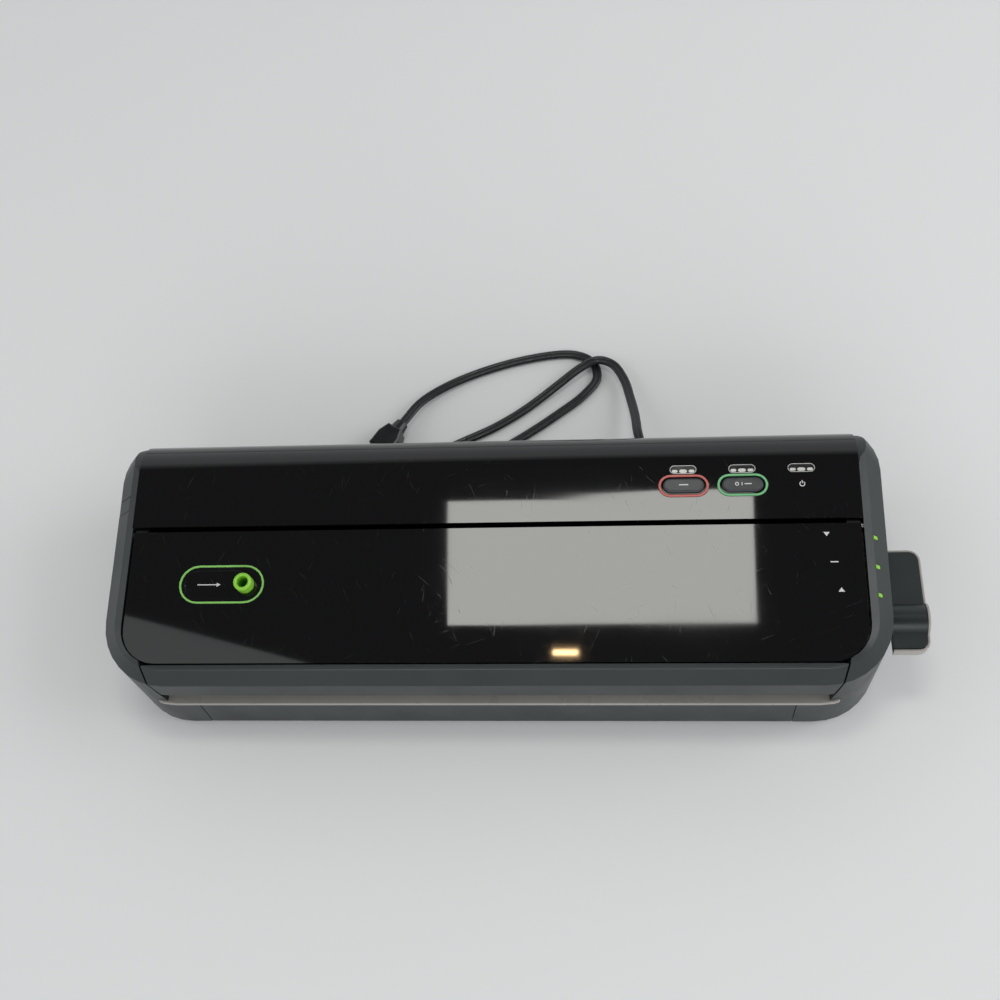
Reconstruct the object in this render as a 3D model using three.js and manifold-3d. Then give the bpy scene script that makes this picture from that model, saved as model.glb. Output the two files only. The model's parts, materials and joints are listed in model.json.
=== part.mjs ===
// Countertop vacuum sealer: a long low body with a hinged lid, a lid latch lever on its right end, two
// push buttons on the rear deck, a hose port in the lid, and a flat two-core mains lead.
// Millimetres. X to the right, Y to the back, Z up. Z = 0 is the surface that the feet stand on.
import * as THREE from 'three';
import { mergeVertices } from 'three/addons/utils/BufferGeometryUtils.js';
import Module from 'manifold-3d';

const wasm = await Module();
wasm.setup();

// ------------------------------------------------------------------------------- driving dimensions

// Overall
const BODY_WIDTH = 413.4; // across the crease of the end caps, the widest line
const LID_DEPTH = 73.2; // from the split to the front edge of the lid's top
const REAR_DEPTH = 58.2; // from the split to the rear wall
const SPLIT_HEIGHT = 74.1; // top of the lid at the split
const SPLIT_Y = 9.8; // the line between the lid and the rear panel
const TOP_SLOPE = THREE.MathUtils.degToRad(6.88); // the top falls towards the front
const CLEARANCE = 0.3; // between pieces that sit on or in each other

// Shells
const WALL = 3;
const PAN_WALL = 2.6;
const FOOT_HEIGHT = 3;
const REAR_STEP = 1.7; // how far the rear panel stands above the lid
const REAR_ROUNDING = 24;
const REAR_PANEL_THICKNESS = 2.6;
const REAR_PANEL_LOW = 38; // lower edge of the rear panel on the rear wall
const LID_RELIEF = 1.1; // room in the rear panel round the lid's rear edge as the lid opens
const FLANGE_DROP = 36; // how far the rear panel's flange reaches below the hinge
const FRONT_CORNER = 35;
const REAR_CORNER = 26; // at the crease and below
const REAR_STRIP_CORNER = 20;
const REAR_TOP_CORNER = 12;
const STRIP_CORNER = 26;
const GAP_CORNER = 20; // plan corner of the gap round the lid

// Steps of the end cap and of the front bar, outwards and downwards from the lid's edge
const STRIP_WIDTH = 4.2; // narrow band next to the lid
const STRIP_DEPTH = 2.9; // the same band where it runs along the front
const STRIP_DROP = 1.4;
const CHAMFER_WIDTH = 8.3;
const CHAMFER_DEPTH = 5.8;
const CHAMFER_DROP = 9.2; // from the top to the crease
const SKIRT_TUCK = 1.5; // the side wall leans in below the crease
const FRONT_LEAN = 2.6; // the front wall leans out below the crease

// Lid
const SIDE_GAP = 1.3; // open gap between the lid and the end caps
const LID_THICKNESS = 3;
const FRAME_THICKNESS = 3.7;
const LID_REAR_GAP = 1.1; // from the split line to the lid's rear edge
const BAR_BOTTOM = 41.4; // lower edge of the front bar, the top of the bag slot
const BAR_SEAM_LOW = 177; // half width of the bar at its lower edge
const BAR_SEAM_LEAN = 0.22; // how far the seam leans out, per mm of height
const TRAY_HALF_WIDTH = 174;
const TRAY_BOTTOM = 40.2;
const TRAY_THICKNESS = 2.7;
const HINGE_AXIS = { y: 9, z: SPLIT_HEIGHT - 4.1 };
const HINGE_PIN_RADIUS = 1.5;
const HINGE_BARREL_RADIUS = 3.2;
const HINGE_BARREL_LENGTH = 6.8;

// Sealing deck
const DECK_TOP = 32.3;
const DECK_THICKNESS = 3;
const DECK_HALF_WIDTH = 181;
const LIP_OVERHANG = 1.1; // the silver lip stands out beyond the front wall
const LIP_DEPTH = 8.4;
const CHANNEL_HALF_WIDTH = 150;
const CHANNEL_DEPTH = 24;
const CHANNEL_DROP = 11.3;
const TROUGH_WALL = 2;
const GASKET_WIDTH = 6;
const GASKET_MARGIN = 4.5; // from the channel to the gasket
const LOWER_GASKET_HEIGHT = 3;
const UPPER_GASKET_HEIGHT = 3.9;
const HEATER_WIDTH = 7;
const HEATER_HEIGHT = 1.6;
const TAPE_THICKNESS = 0.4;
const LOWER_SEAM = 159.2; // half width of the lower front panel

// Latch
const LATCH_AXIS = { y: -34, z: 45 };
const LATCH_SHAFT_RADIUS = 4;
const LATCH_BUSH_RADIUS = 6.5;
const LEVER_REACH = 39; // from the axis to the end of the rear wing
const LEVER_TAIL = 17.6; // from the axis to the end of the front wing
const LEVER_WIDTH = 18.8;
const LEVER_THICKNESS = 6.4;
const LEVER_HUB_RADIUS = 8.6;
const LEVER_CORNER = 6;
const LEVER_RIM = 1.2;
const LEVER_STAND_OFF = 0.9; // between the end cap and the lever

// Controls, in the plane of the rear panel
const CONTROL_Y = 29.6;
const BUTTON_SPACING = 30.6;
const SEAL_BUTTON_X = 103.1;
const BUTTON_LENGTH = 21.5;
const BUTTON_WIDTH = 8;
const BUTTON_PROUD = 1.1;
const BUTTON_SKIRT = 4;
const BUTTON_TRAVEL = 1.2;
const BUTTON_RING_LENGTH = 26.2;
const BUTTON_RING_WIDTH = 12.3;
const BUTTON_RING_LINE = 1.2;
const LAMP_LENGTH = 14;
const LAMP_WIDTH = 4.8;
const LAMP_OFFSET = 9; // behind the buttons' centre line

// Accessory port, in the plane of the lid
const PORT_X = -141.7;
const PORT_Y = -20.7;
const PORT_LENGTH = 46.2;
const PORT_WIDTH = 21;
const PORT_LINE = 1;
const PORT_TUBE_OFFSET = 12.7;
const PORT_TUBE_RADIUS = 4.9;
const PORT_TUBE_BORE = 3;
const PORT_TUBE_HEIGHT = 5.6;

// Mains lead
const CORD_WIDTH = 5.6;
const CORD_THICKNESS = 3;
const CORD_STEPS = 72;
const CORD_EXIT = { x: 81.5, z: 16 };
const RELIEF_LENGTH = 24;
const RELIEF_RADIUS = 5;
const TIE = { x: -112, y: 76.9, width: 7, low: 0.1, high: 5.9, half: 8.3, wall: 0.8 };
const PLUG_LENGTH = 16;
const PLUG_COLLAR = 7;
const PLUG_WIDTH = 15;
const PLUG_THICKNESS = 12.4;
const PLUG_BEVEL = 1;
const BLADE = { length: 15, width: 1.5, height: 5.8, spacing: 12.7 };

// The middle of the lead from its strain relief to its plug: out of the rear wall, round to the left,
// behind the machine in a flat bight that a tie holds, and back out to the plug
const CORD_ROUTE = [
  [81.5, 92.8, 16],
  [80.3, 99, 15.4],
  [79.2, 111, 12.4],
  [76.4, 127, 8.2],
  [72.6, 142, 6.2],
  [66, 153, 5.8],
  [57, 156.6, 5.8],
  [47.5, 152.3, 5.8],
  [33, 141, 4.2],
  [21, 131.5, 2.4],
  [8.6, 121.9, 1.8],
  [-8, 111.2, 1.8],
  [-24.8, 102.9, 1.8],
  [-41, 95, 1.8],
  [-66, 83, 1.8],
  [-96, 80.1, 2],
  [-112, 80.3, 3],
  [-128, 82, 2.4],
  [-152, 88.8, 1.8],
  [-172, 95.8, 1.8],
  [-186, 96.9, 1.8],
  [-194.8, 93.2, 1.8],
  [-198.5, 84.4, 1.8],
  [-194.8, 75.6, 1.8],
  [-186, 71.9, 1.8],
  [-150, 72.3, 1.8],
  [-112, 73.5, 3],
  [-82, 73, 1.8],
  [-52, 74, 1.8],
  [-22, 84.6, 1.8],
  [9, 103.5, 1.8],
  [33.3, 121.3, 1.8],
  [48.2, 134, 1.8],
  [56, 145.6, 1.8],
  [53.6, 157, 1.8],
  [42, 163.6, 1.8],
  [10, 160.6, 1.8],
  [-29.9, 146.4, 2.4],
  [-52.6, 130.4, 4.4],
  [-63.5, 113.6, 6.9],
];

// Marks for the lever's positions, on the chamfer of the right end cap, and the insert in the left one
const TICKS = [
  { name: 'operate_mark', y: 1.7 },
  { name: 'store_mark', y: -13.8 },
  { name: 'open_mark', y: -28.6 },
];
const TICK_LENGTH = 3;
const TICK_WIDTH = 2;
const TICK_DEPTH = 1.4;
const INSERT_Y = 26.2;
const INSERT_LENGTH = 8.2;
const INSERT_DEPTH = 1.2;

// Screws, feet and vents
const SCREW_HEAD = 3.3; // radius
const SCREW_SHANK = 1.6; // radius
const SCREW_HEAD_HEIGHT = 1.4;
const SCREW_INSET = 52;
const FOOT_RADIUS = 8;
const FOOT_INSET = 30;
const VENT_COUNT = 7;
const VENT_PITCH = 6;
const VENT_WIDTH = 2.4;
const VENT_X = -150;

// Ledge and hook of the latch
const LEDGE_THICKNESS = 2.5;
const CATCH_WIDTH = 4;
const CAM_RADIUS = 6.2;
const CAM_WIDTH = 5;

// Pump, motor and transformer
const PUMP_LENGTH = 54;
const PUMP_DEPTH = 36;
const PUMP_HEIGHT = 40;
const PUMP_X = -125;
const VACUUM_X = -122; // the hose from the channel
const HOSE_RADIUS = 3;
const MOTOR_RADIUS = 15;
const MOTOR_LENGTH = 50;
const MOTOR_Z = 27;
const ECCENTRIC_RADIUS = 9;
const ECCENTRIC_THROW = 2.5;
const SHAFT_GAP = 12; // from the pump to the motor
const TRANSFORMER_X = 35;
const CORE_WIDTH = 50;
const CORE_DEPTH = 34;
const CORE_TOP = 46;
const COIL_WIDTH = 34;
const COIL_DEPTH = 42;

// ------------------------------------------------------------------------------------ derived sizes

const HALF_WIDTH = BODY_WIDTH / 2;
const REAR_Y = SPLIT_Y + REAR_DEPTH;
const LID_FRONT_Y = SPLIT_Y - LID_DEPTH;
const STRIP_HALF_WIDTH = HALF_WIDTH - CHAMFER_WIDTH;
const GAP_HALF_WIDTH = STRIP_HALF_WIDTH - STRIP_WIDTH;
const STRIP_FRONT_Y = LID_FRONT_Y - STRIP_DEPTH;
const CREASE_FRONT_Y = STRIP_FRONT_Y - CHAMFER_DEPTH;
const SKIRT_FRONT_Y = CREASE_FRONT_Y - FRONT_LEAN;
const CHANNEL_Y = LID_FRONT_Y + 28; // middle of the vacuum channel
const HEATER_Y = LID_FRONT_Y + 1.2; // middle of the sealing bar
const DECK_REAR_Y = SPLIT_Y - 1.8;
const DECK_BOTTOM = DECK_TOP - DECK_THICKNESS;
const LEDGE_DEPTH = LID_THICKNESS + FRAME_THICKNESS + 2 * CLEARANCE + 1;
const INNER_WALL_X = DECK_HALF_WIDTH + 2 * CLEARANCE;
const CATCH_X = GAP_HALF_WIDTH - 5;
const BUTTON_BEVEL = 0.8;
const SWITCH_TOP = -BUTTON_SKIRT - BUTTON_BEVEL - BUTTON_TRAVEL - CLEARANCE;
const BOARD_DEPTH = -SWITCH_TOP + 2.6;
const INLET_Z = DECK_TOP - CHANNEL_DROP + 4; // the hose's height
const PAN_BOTTOM = FOOT_HEIGHT + CLEARANCE;
const PAN_FLOOR = PAN_BOTTOM + WALL;
const PUMP = {
  x0: PUMP_X - PUMP_LENGTH / 2,
  x1: PUMP_X + PUMP_LENGTH / 2,
  y0: SPLIT_Y + 10,
  y1: SPLIT_Y + 10 + PUMP_DEPTH,
  z0: PAN_FLOOR + 1.7,
  z1: PAN_FLOOR + 1.7 + PUMP_HEIGHT,
};
const MOTOR_AXIS = { y: (PUMP.y0 + PUMP.y1) / 2, z: MOTOR_Z };
const FAR = 300; // past the model in any direction, for cutters
const BELOW = -20; // a height under everything, for cutters
const ABOVE = 140; // a height over everything, for cutters

function topZ(y) {
  return SPLIT_HEIGHT + (y - SPLIT_Y) * Math.tan(TOP_SLOPE);
}

// ---------------------------------------------------------------------------------- shape functions

function solidOf(geometry) {
  const bare = geometry.clone();
  bare.deleteAttribute('normal');
  bare.deleteAttribute('uv');
  const merged = mergeVertices(bare, 1e-4);
  return new wasm.Manifold(
    new wasm.Mesh({
      numProp: 3,
      vertProperties: Float32Array.from(merged.attributes.position.array),
      triVerts: Uint32Array.from(merged.index.array),
    }),
  );
}

function geometryOf(solid) {
  const mesh = solid.getMesh();
  const geometry = new THREE.BufferGeometry();
  geometry.setAttribute('position', new THREE.BufferAttribute(Float32Array.from(mesh.vertProperties), 3));
  geometry.setIndex(new THREE.BufferAttribute(Uint32Array.from(mesh.triVerts), 1));
  return geometry;
}

function box(x0, x1, y0, y1, z0, z1) {
  const geometry = new THREE.BoxGeometry(Math.abs(x1 - x0), y1 - y0, z1 - z0);
  geometry.translate((x0 + x1) / 2, (y0 + y1) / 2, (z0 + z1) / 2);
  return solidOf(geometry);
}

function extruded(points, depth) {
  const shape = points instanceof THREE.Shape ? points : new THREE.Shape(points);
  return new THREE.ExtrudeGeometry(shape, { depth, bevelEnabled: false, curveSegments: 8 });
}

// An outline in X and Y, from z0 up to z1
function slab(points, z0, z1) {
  return solidOf(extruded(points, z1 - z0).translate(0, 0, z0));
}

// An outline in Y and Z, from x0 to x1
function beam(points, x0, x1) {
  const geometry = extruded(points, x1 - x0);
  geometry.applyMatrix4(
    new THREE.Matrix4().makeBasis(
      new THREE.Vector3(0, 1, 0),
      new THREE.Vector3(0, 0, 1),
      new THREE.Vector3(1, 0, 0),
    ),
  );
  return solidOf(geometry.translate(x0, 0, 0));
}

// An outline in X and Z, from y0 to y1
function plank(points, y0, y1) {
  const geometry = extruded(points, y1 - y0);
  geometry.applyMatrix4(
    new THREE.Matrix4().makeBasis(
      new THREE.Vector3(1, 0, 0),
      new THREE.Vector3(0, 0, 1),
      new THREE.Vector3(0, -1, 0),
    ),
  );
  return solidOf(geometry.translate(0, y1, 0));
}

// A round bar along X about the point (y, z)
function barX(radius, x0, x1, { y, z }, sides = 24) {
  const geometry = new THREE.CylinderGeometry(radius, radius, Math.abs(x1 - x0), sides);
  geometry.rotateZ(Math.PI / 2);
  return solidOf(geometry.translate((x0 + x1) / 2, y, z));
}

// A round bar along Z about the point (x, y)
function barZ(radius, z0, z1, x, y, sides = 24) {
  const geometry = new THREE.CylinderGeometry(radius, radius, z1 - z0, sides);
  geometry.rotateX(Math.PI / 2);
  return solidOf(geometry.translate(x, y, (z0 + z1) / 2));
}

function v2(x, y) {
  return new THREE.Vector2(x, y);
}

// A rectangle with its own corner radii, counter-clockwise from the left end of the rear edge
function outline(halfWidth, front, rear, frontRadius, rearRadius, frontSteps = 7, rearSteps = 4) {
  const points = [];
  const corner = (cx, cy, radius, start, steps) => {
    for (let i = 0; i <= steps; i += 1) {
      const angle = start + (i / steps) * (Math.PI / 2);
      points.push(v2(cx + radius * Math.cos(angle), cy + radius * Math.sin(angle)));
    }
  };
  corner(-halfWidth + rearRadius, rear - rearRadius, rearRadius, Math.PI / 2, rearSteps);
  corner(-halfWidth + frontRadius, front + frontRadius, frontRadius, Math.PI, frontSteps);
  corner(halfWidth - frontRadius, front + frontRadius, frontRadius, -Math.PI / 2, frontSteps);
  corner(halfWidth - rearRadius, rear - rearRadius, rearRadius, 0, rearSteps);
  return points;
}

// A stadium, length along X
function stadium(length, width, centreX = 0, centreY = 0, steps = 11) {
  const radius = width / 2;
  const reach = length / 2 - radius;
  const points = [];
  for (const side of [1, -1]) {
    for (let i = 0; i <= steps; i += 1) {
      const angle = side * (-Math.PI / 2) + (i / steps) * Math.PI;
      points.push(v2(centreX + side * reach + radius * Math.cos(angle), centreY + radius * Math.sin(angle)));
    }
  }
  return points;
}

// Outlines stacked from the bottom up, each with a height that may depend on y
function loft(levels) {
  const positions = [];
  const index = [];
  const count = levels[0].points.length;
  for (const { points, height } of levels) {
    for (const p of points) {
      positions.push(p.x, p.y, typeof height === 'function' ? height(p.y) : height);
    }
  }
  for (let level = 0; level + 1 < levels.length; level += 1) {
    for (let i = 0; i < count; i += 1) {
      const a = level * count + i;
      const b = level * count + ((i + 1) % count);
      index.push(a, b, b + count, a, b + count, a + count);
    }
  }
  const top = (levels.length - 1) * count;
  for (let i = 1; i + 1 < count; i += 1) {
    index.push(0, i + 1, i, top, top + i, top + i + 1);
  }
  const geometry = new THREE.BufferGeometry();
  geometry.setAttribute('position', new THREE.Float32BufferAttribute(positions, 3));
  geometry.setIndex(index);
  return solidOf(geometry);
}

// A flat-bottomed plate that follows the slope of the top, between two depths below it
function slopedPlate(points, low, high) {
  return loft([
    { points, height: (y) => topZ(y) - low },
    { points, height: (y) => topZ(y) - high },
  ]);
}

// The whole outer form, made smaller by inset, with its top raised by lift
function hull(inset, lift = 0, bottom = FOOT_HEIGHT) {
  const rear = REAR_Y - inset + 0.001;
  const level = (half, front, frontRadius, rearRadius, height) => ({
    points: outline(
      half - inset,
      front + inset,
      rear,
      Math.max(frontRadius - inset, 4),
      Math.max(rearRadius - inset, 4),
      8,
      7,
    ),
    height,
  });
  const skirt = HALF_WIDTH - SKIRT_TUCK;
  const crease = (y) => topZ(y) + lift - CHAMFER_DROP - 0.4 * inset;
  const strip = (y) => topZ(y) + lift - STRIP_DROP - inset;
  const plan = loft([
    level(skirt, SKIRT_FRONT_Y, FRONT_CORNER, REAR_CORNER, bottom - 0.01),
    level(skirt, SKIRT_FRONT_Y, FRONT_CORNER, REAR_CORNER, FOOT_HEIGHT),
    level(HALF_WIDTH, CREASE_FRONT_Y, FRONT_CORNER, REAR_CORNER, crease),
    level(STRIP_HALF_WIDTH, STRIP_FRONT_Y, STRIP_CORNER, REAR_STRIP_CORNER, strip),
    level(GAP_HALF_WIDTH, LID_FRONT_Y, GAP_CORNER, REAR_TOP_CORNER, (y) => topZ(y) + lift - inset),
  ]);
  const centreY = REAR_Y - REAR_ROUNDING;
  const centreZ = topZ(centreY) + lift - REAR_ROUNDING / Math.cos(TOP_SLOPE);
  const profile = [v2(-FAR, bottom), v2(REAR_Y - inset, bottom)];
  const steps = 10;
  for (let i = 0; i <= steps; i += 1) {
    const angle = (i / steps) * (Math.PI / 2 + TOP_SLOPE);
    const radius = REAR_ROUNDING - inset;
    profile.push(v2(centreY + radius * Math.cos(angle), centreZ + radius * Math.sin(angle)));
  }
  profile.push(v2(-FAR, topZ(-FAR) + lift - inset / Math.cos(TOP_SLOPE)));
  return plan.intersect(beam(profile, -HALF_WIDTH - 1, HALF_WIDTH + 1));
}

// Puts a shape made flat round (0, 0, 0) on the sloping top at (x, y), raised by lift
function onTop(geometry, x, y, lift) {
  const place = new THREE.Matrix4().makeRotationX(TOP_SLOPE);
  place.setPosition(x, y, topZ(y) + lift);
  return solidOf(geometry.applyMatrix4(place));
}

function flatPiece(points, z0, z1) {
  return extruded(points, z1 - z0).translate(0, 0, z0);
}

function ring(outer, inner) {
  const shape = new THREE.Shape(outer);
  shape.holes.push(new THREE.Path(inner));
  return shape;
}

// ---------------------------------------------------------------------------------------- materials

function material(color, roughness, metalness = 0) {
  return new THREE.MeshStandardMaterial({ color, roughness, metalness });
}

const paint = {
  gloss: material('#0c0d0f', 0.12),
  slate: material('#3c4446', 0.42),
  black: material('#17191a', 0.55),
  silver: material('#b3afa8', 0.35, 0.6),
  rim: material('#aaa59d', 0.35, 0.4),
  lime: material('#8fd33a', 0.4),
  portGreen: material('#8fc86a', 0.4),
  coral: material('#d0716a', 0.4),
  mint: material('#7fc890', 0.4),
  lens: material('#d8d8d2', 0.2),
  foam: material('#5b5d60', 0.9),
  rubber: material('#232323', 0.8),
  tape: material('#8a6b43', 0.6),
  steel: material('#b9bcc0', 0.3, 0.9),
  brass: material('#c2a25a', 0.35, 0.9),
  board: material('#1f5a3a', 0.6),
  copper: material('#a4622f', 0.45, 0.5),
  hose: material('#c9cdd0', 0.5),
  cord: material('#111213', 0.6),
};

const machine = new THREE.Group();
const lead = new THREE.Group();

function add(name, solid, finish, group = machine) {
  const mesh = new THREE.Mesh(geometryOf(solid), finish);
  mesh.name = name;
  group.add(mesh);
}

// ----------------------------------------------------------------------------------- base and shells

const outer = hull(0);
const shell = outer.subtract(hull(WALL, 0, BELOW));

function seamHalfWidth(z) {
  return BAR_SEAM_LOW + (z - BAR_BOTTOM) * BAR_SEAM_LEAN;
}

// The space between the slanted seams of the front bar, made wider by gap on each side
function betweenSeams(gap, bottom) {
  const low = seamHalfWidth(bottom) + gap;
  const high = seamHalfWidth(ABOVE) + gap;
  const points = [v2(-low, bottom), v2(low, bottom), v2(high, ABOVE), v2(-high, ABOVE)];
  return plank(points, -FAR, LID_FRONT_Y + 24);
}

function makeBase() {
  const panInset = WALL + CLEARANCE + 0.1;
  const panTop = DECK_BOTTOM - 2 * CLEARANCE;
  const wide = HALF_WIDTH + 5;
  const body = hull(panInset, 0, 0).intersect(box(-wide, wide, -FAR, FAR, PAN_BOTTOM, panTop));
  const hollow = hull(panInset + PAN_WALL, 0, 0).intersect(box(-wide, wide, -FAR, FAR, PAN_FLOOR, ABOVE));
  const rearHalf = GAP_HALF_WIDTH - 2 * CLEARANCE;
  const rearWall = outer
    .subtract(hull(WALL + 2, 0, BELOW))
    .intersect(box(-rearHalf, rearHalf, REAR_Y - 12, REAR_Y + 5, 0, REAR_PANEL_LOW - CLEARANCE));
  let base = body.subtract(hollow).add(rearWall);
  for (const { x, y } of screwPlaces()) {
    base = base.subtract(barZ(SCREW_HEAD + CLEARANCE, 0, PAN_BOTTOM + 2, x, y, 12));
    base = base.subtract(barZ(SCREW_SHANK + CLEARANCE, 0, PAN_FLOOR + 1, x, y, 12));
  }
  for (let i = 0; i < VENT_COUNT; i += 1) {
    const x = VENT_X + i * VENT_PITCH;
    base = base.subtract(box(x - VENT_WIDTH / 2, x + VENT_WIDTH / 2, REAR_Y - 20, REAR_Y + 5, 12, 30));
  }
  const exit = new THREE.CylinderGeometry(RELIEF_RADIUS + CLEARANCE, RELIEF_RADIUS + CLEARANCE, 30, 16);
  base = base.subtract(solidOf(exit.translate(CORD_EXIT.x, REAR_Y, CORD_EXIT.z)));
  add('base_housing', base, paint.black);
}

function screwPlaces() {
  const places = [];
  for (const side of [-1, 1]) {
    places.push({ x: side * (HALF_WIDTH - SCREW_INSET), y: REAR_Y - 22 });
    places.push({ x: side * (HALF_WIDTH - SCREW_INSET), y: SKIRT_FRONT_Y + 22 });
  }
  return places;
}

function makeScrewsAndFeet() {
  const headBottom = FOOT_HEIGHT + 2 * CLEARANCE;
  screwPlaces().forEach(({ x, y }, i) => {
    const screw = barZ(SCREW_HEAD, headBottom, headBottom + SCREW_HEAD_HEIGHT, x, y, 12);
    add(`case_screw_${i + 1}`, screw.add(barZ(SCREW_SHANK, headBottom + 1, 14, x, y, 12)), paint.steel);
  });
  const names = ['rear_left_foot', 'front_left_foot', 'rear_right_foot', 'front_right_foot'];
  let i = 0;
  for (const side of [-1, 1]) {
    for (const y of [REAR_Y - 20, SKIRT_FRONT_Y + 26]) {
      add(names[i], barZ(FOOT_RADIUS, 0, FOOT_HEIGHT, side * (HALF_WIDTH - FOOT_INSET), y, 20), paint.rubber);
      i += 1;
    }
  }
}

// What stays open between the two end caps: the lid, its bar, the bag slot, the deck and the rear panel
function spaceBetweenCaps() {
  const deckHalf = DECK_HALF_WIDTH + CLEARANCE;
  const panelHalf = LOWER_SEAM + CLEARANCE;
  return betweenSeams(CLEARANCE + 0.2, DECK_TOP + CLEARANCE)
    .add(box(-panelHalf, panelHalf, -FAR, 0, BELOW, DECK_BOTTOM + 1))
    .add(box(-deckHalf, deckHalf, -FAR, 0, DECK_BOTTOM, DECK_TOP + CLEARANCE))
    .add(slab(outline(GAP_HALF_WIDTH, LID_FRONT_Y, SPLIT_Y + 5, GAP_CORNER, 1), DECK_TOP, ABOVE))
    .add(box(-GAP_HALF_WIDTH, GAP_HALF_WIDTH, 0, FAR, BELOW, ABOVE));
}

function insertBand(depth, length) {
  const y0 = INSERT_Y - length / 2;
  return outer
    .subtract(hull(depth, 0, BELOW))
    .intersect(box(-HALF_WIDTH - 5, -STRIP_HALF_WIDTH, y0, y0 + length, 40, ABOVE));
}

function makeCap(side) {
  const within = hull(WALL / 2, 0, BELOW);
  const left = Math.min(side * INNER_WALL_X, side * (HALF_WIDTH - 2));
  const right = Math.max(side * INNER_WALL_X, side * (HALF_WIDTH - 2));
  const footprint = [
    v2(left, LID_FRONT_Y - 2),
    v2(right, LID_FRONT_Y - 2),
    v2(right, SPLIT_Y - 3),
    v2(left, SPLIT_Y - 3),
  ];
  const ledge = slopedPlate(footprint, LEDGE_DEPTH + LEDGE_THICKNESS, LEDGE_DEPTH);
  const wallX = side * (INNER_WALL_X + LEDGE_THICKNESS - 0.2);
  const wall = slopedPlate(footprint, 60, LEDGE_DEPTH).intersect(
    box(side * INNER_WALL_X, wallX, -FAR, FAR, DECK_TOP + CLEARANCE, ABOVE),
  );
  const boss = box(
    side * (GAP_HALF_WIDTH + CLEARANCE),
    side * (STRIP_HALF_WIDTH + 1),
    HINGE_AXIS.y - 5,
    HINGE_AXIS.y + 7,
    HINGE_AXIS.z - 8,
    HINGE_AXIS.z + 3,
  );
  const half = box(side * 150, side * (HALF_WIDTH + 5), -FAR, FAR, 0, ABOVE);
  let cap = shell.subtract(spaceBetweenCaps()).intersect(half);
  cap = cap.add(ledge.add(wall).add(boss).intersect(within));
  const pinEnd = side * (STRIP_HALF_WIDTH + 0.2);
  cap = cap.subtract(barX(HINGE_PIN_RADIUS + CLEARANCE, side * 150, pinEnd, HINGE_AXIS, 16));
  if (side > 0) {
    const slot = box(
      CATCH_X - CATCH_WIDTH / 2 - 1,
      CATCH_X + CATCH_WIDTH / 2 + 1,
      LATCH_AXIS.y - 12,
      LATCH_AXIS.y + 1,
      DECK_TOP + 20,
      ABOVE,
    );
    cap = cap.subtract(slot);
    cap = cap.subtract(barX(LATCH_BUSH_RADIUS + CLEARANCE, HALF_WIDTH - 10, HALF_WIDTH + 5, LATCH_AXIS));
    for (const { y } of TICKS) {
      cap = cap.subtract(tick(y, CLEARANCE));
    }
    add('right_end_cap', cap, paint.slate);
  } else {
    cap = cap.subtract(insertBand(INSERT_DEPTH + CLEARANCE, INSERT_LENGTH + 2 * CLEARANCE));
    add('left_end_cap', cap, paint.slate);
    add('left_cap_insert', insertBand(INSERT_DEPTH, INSERT_LENGTH), paint.slate);
  }
}

// A mark on the chamfer of the right end cap, made larger by gap on each side
function tick(y, gap) {
  const chamfer = Math.atan2(CHAMFER_DROP - STRIP_DROP, CHAMFER_WIDTH);
  const geometry = new THREE.BoxGeometry(TICK_LENGTH + 2 * gap, TICK_WIDTH + 2 * gap, TICK_DEPTH + gap);
  geometry.translate(TICK_LENGTH / 2 + 0.6, 0, -0.55 - gap / 2);
  geometry.rotateY(chamfer);
  return solidOf(geometry.translate(STRIP_HALF_WIDTH, y, topZ(y) - STRIP_DROP));
}

function makeMarks() {
  TICKS.forEach(({ name, y }) => add(name, tick(y, 0), paint.lime));
}

function makeLowerFront() {
  const panel = shell.intersect(box(-LOWER_SEAM, LOWER_SEAM, -FAR, LID_FRONT_Y, 0, DECK_BOTTOM + 0.2));
  add('lower_front_panel', panel, paint.slate);
}

// -------------------------------------------------------------------------------------- sealing deck

function racetrack(grow, y = CHANNEL_Y) {
  const half = CHANNEL_HALF_WIDTH + grow;
  const depth = CHANNEL_DEPTH / 2 + grow;
  const radius = Math.max(4, grow + 2);
  return outline(half, y - depth, y + depth, radius, radius, 4, 4);
}

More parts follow.
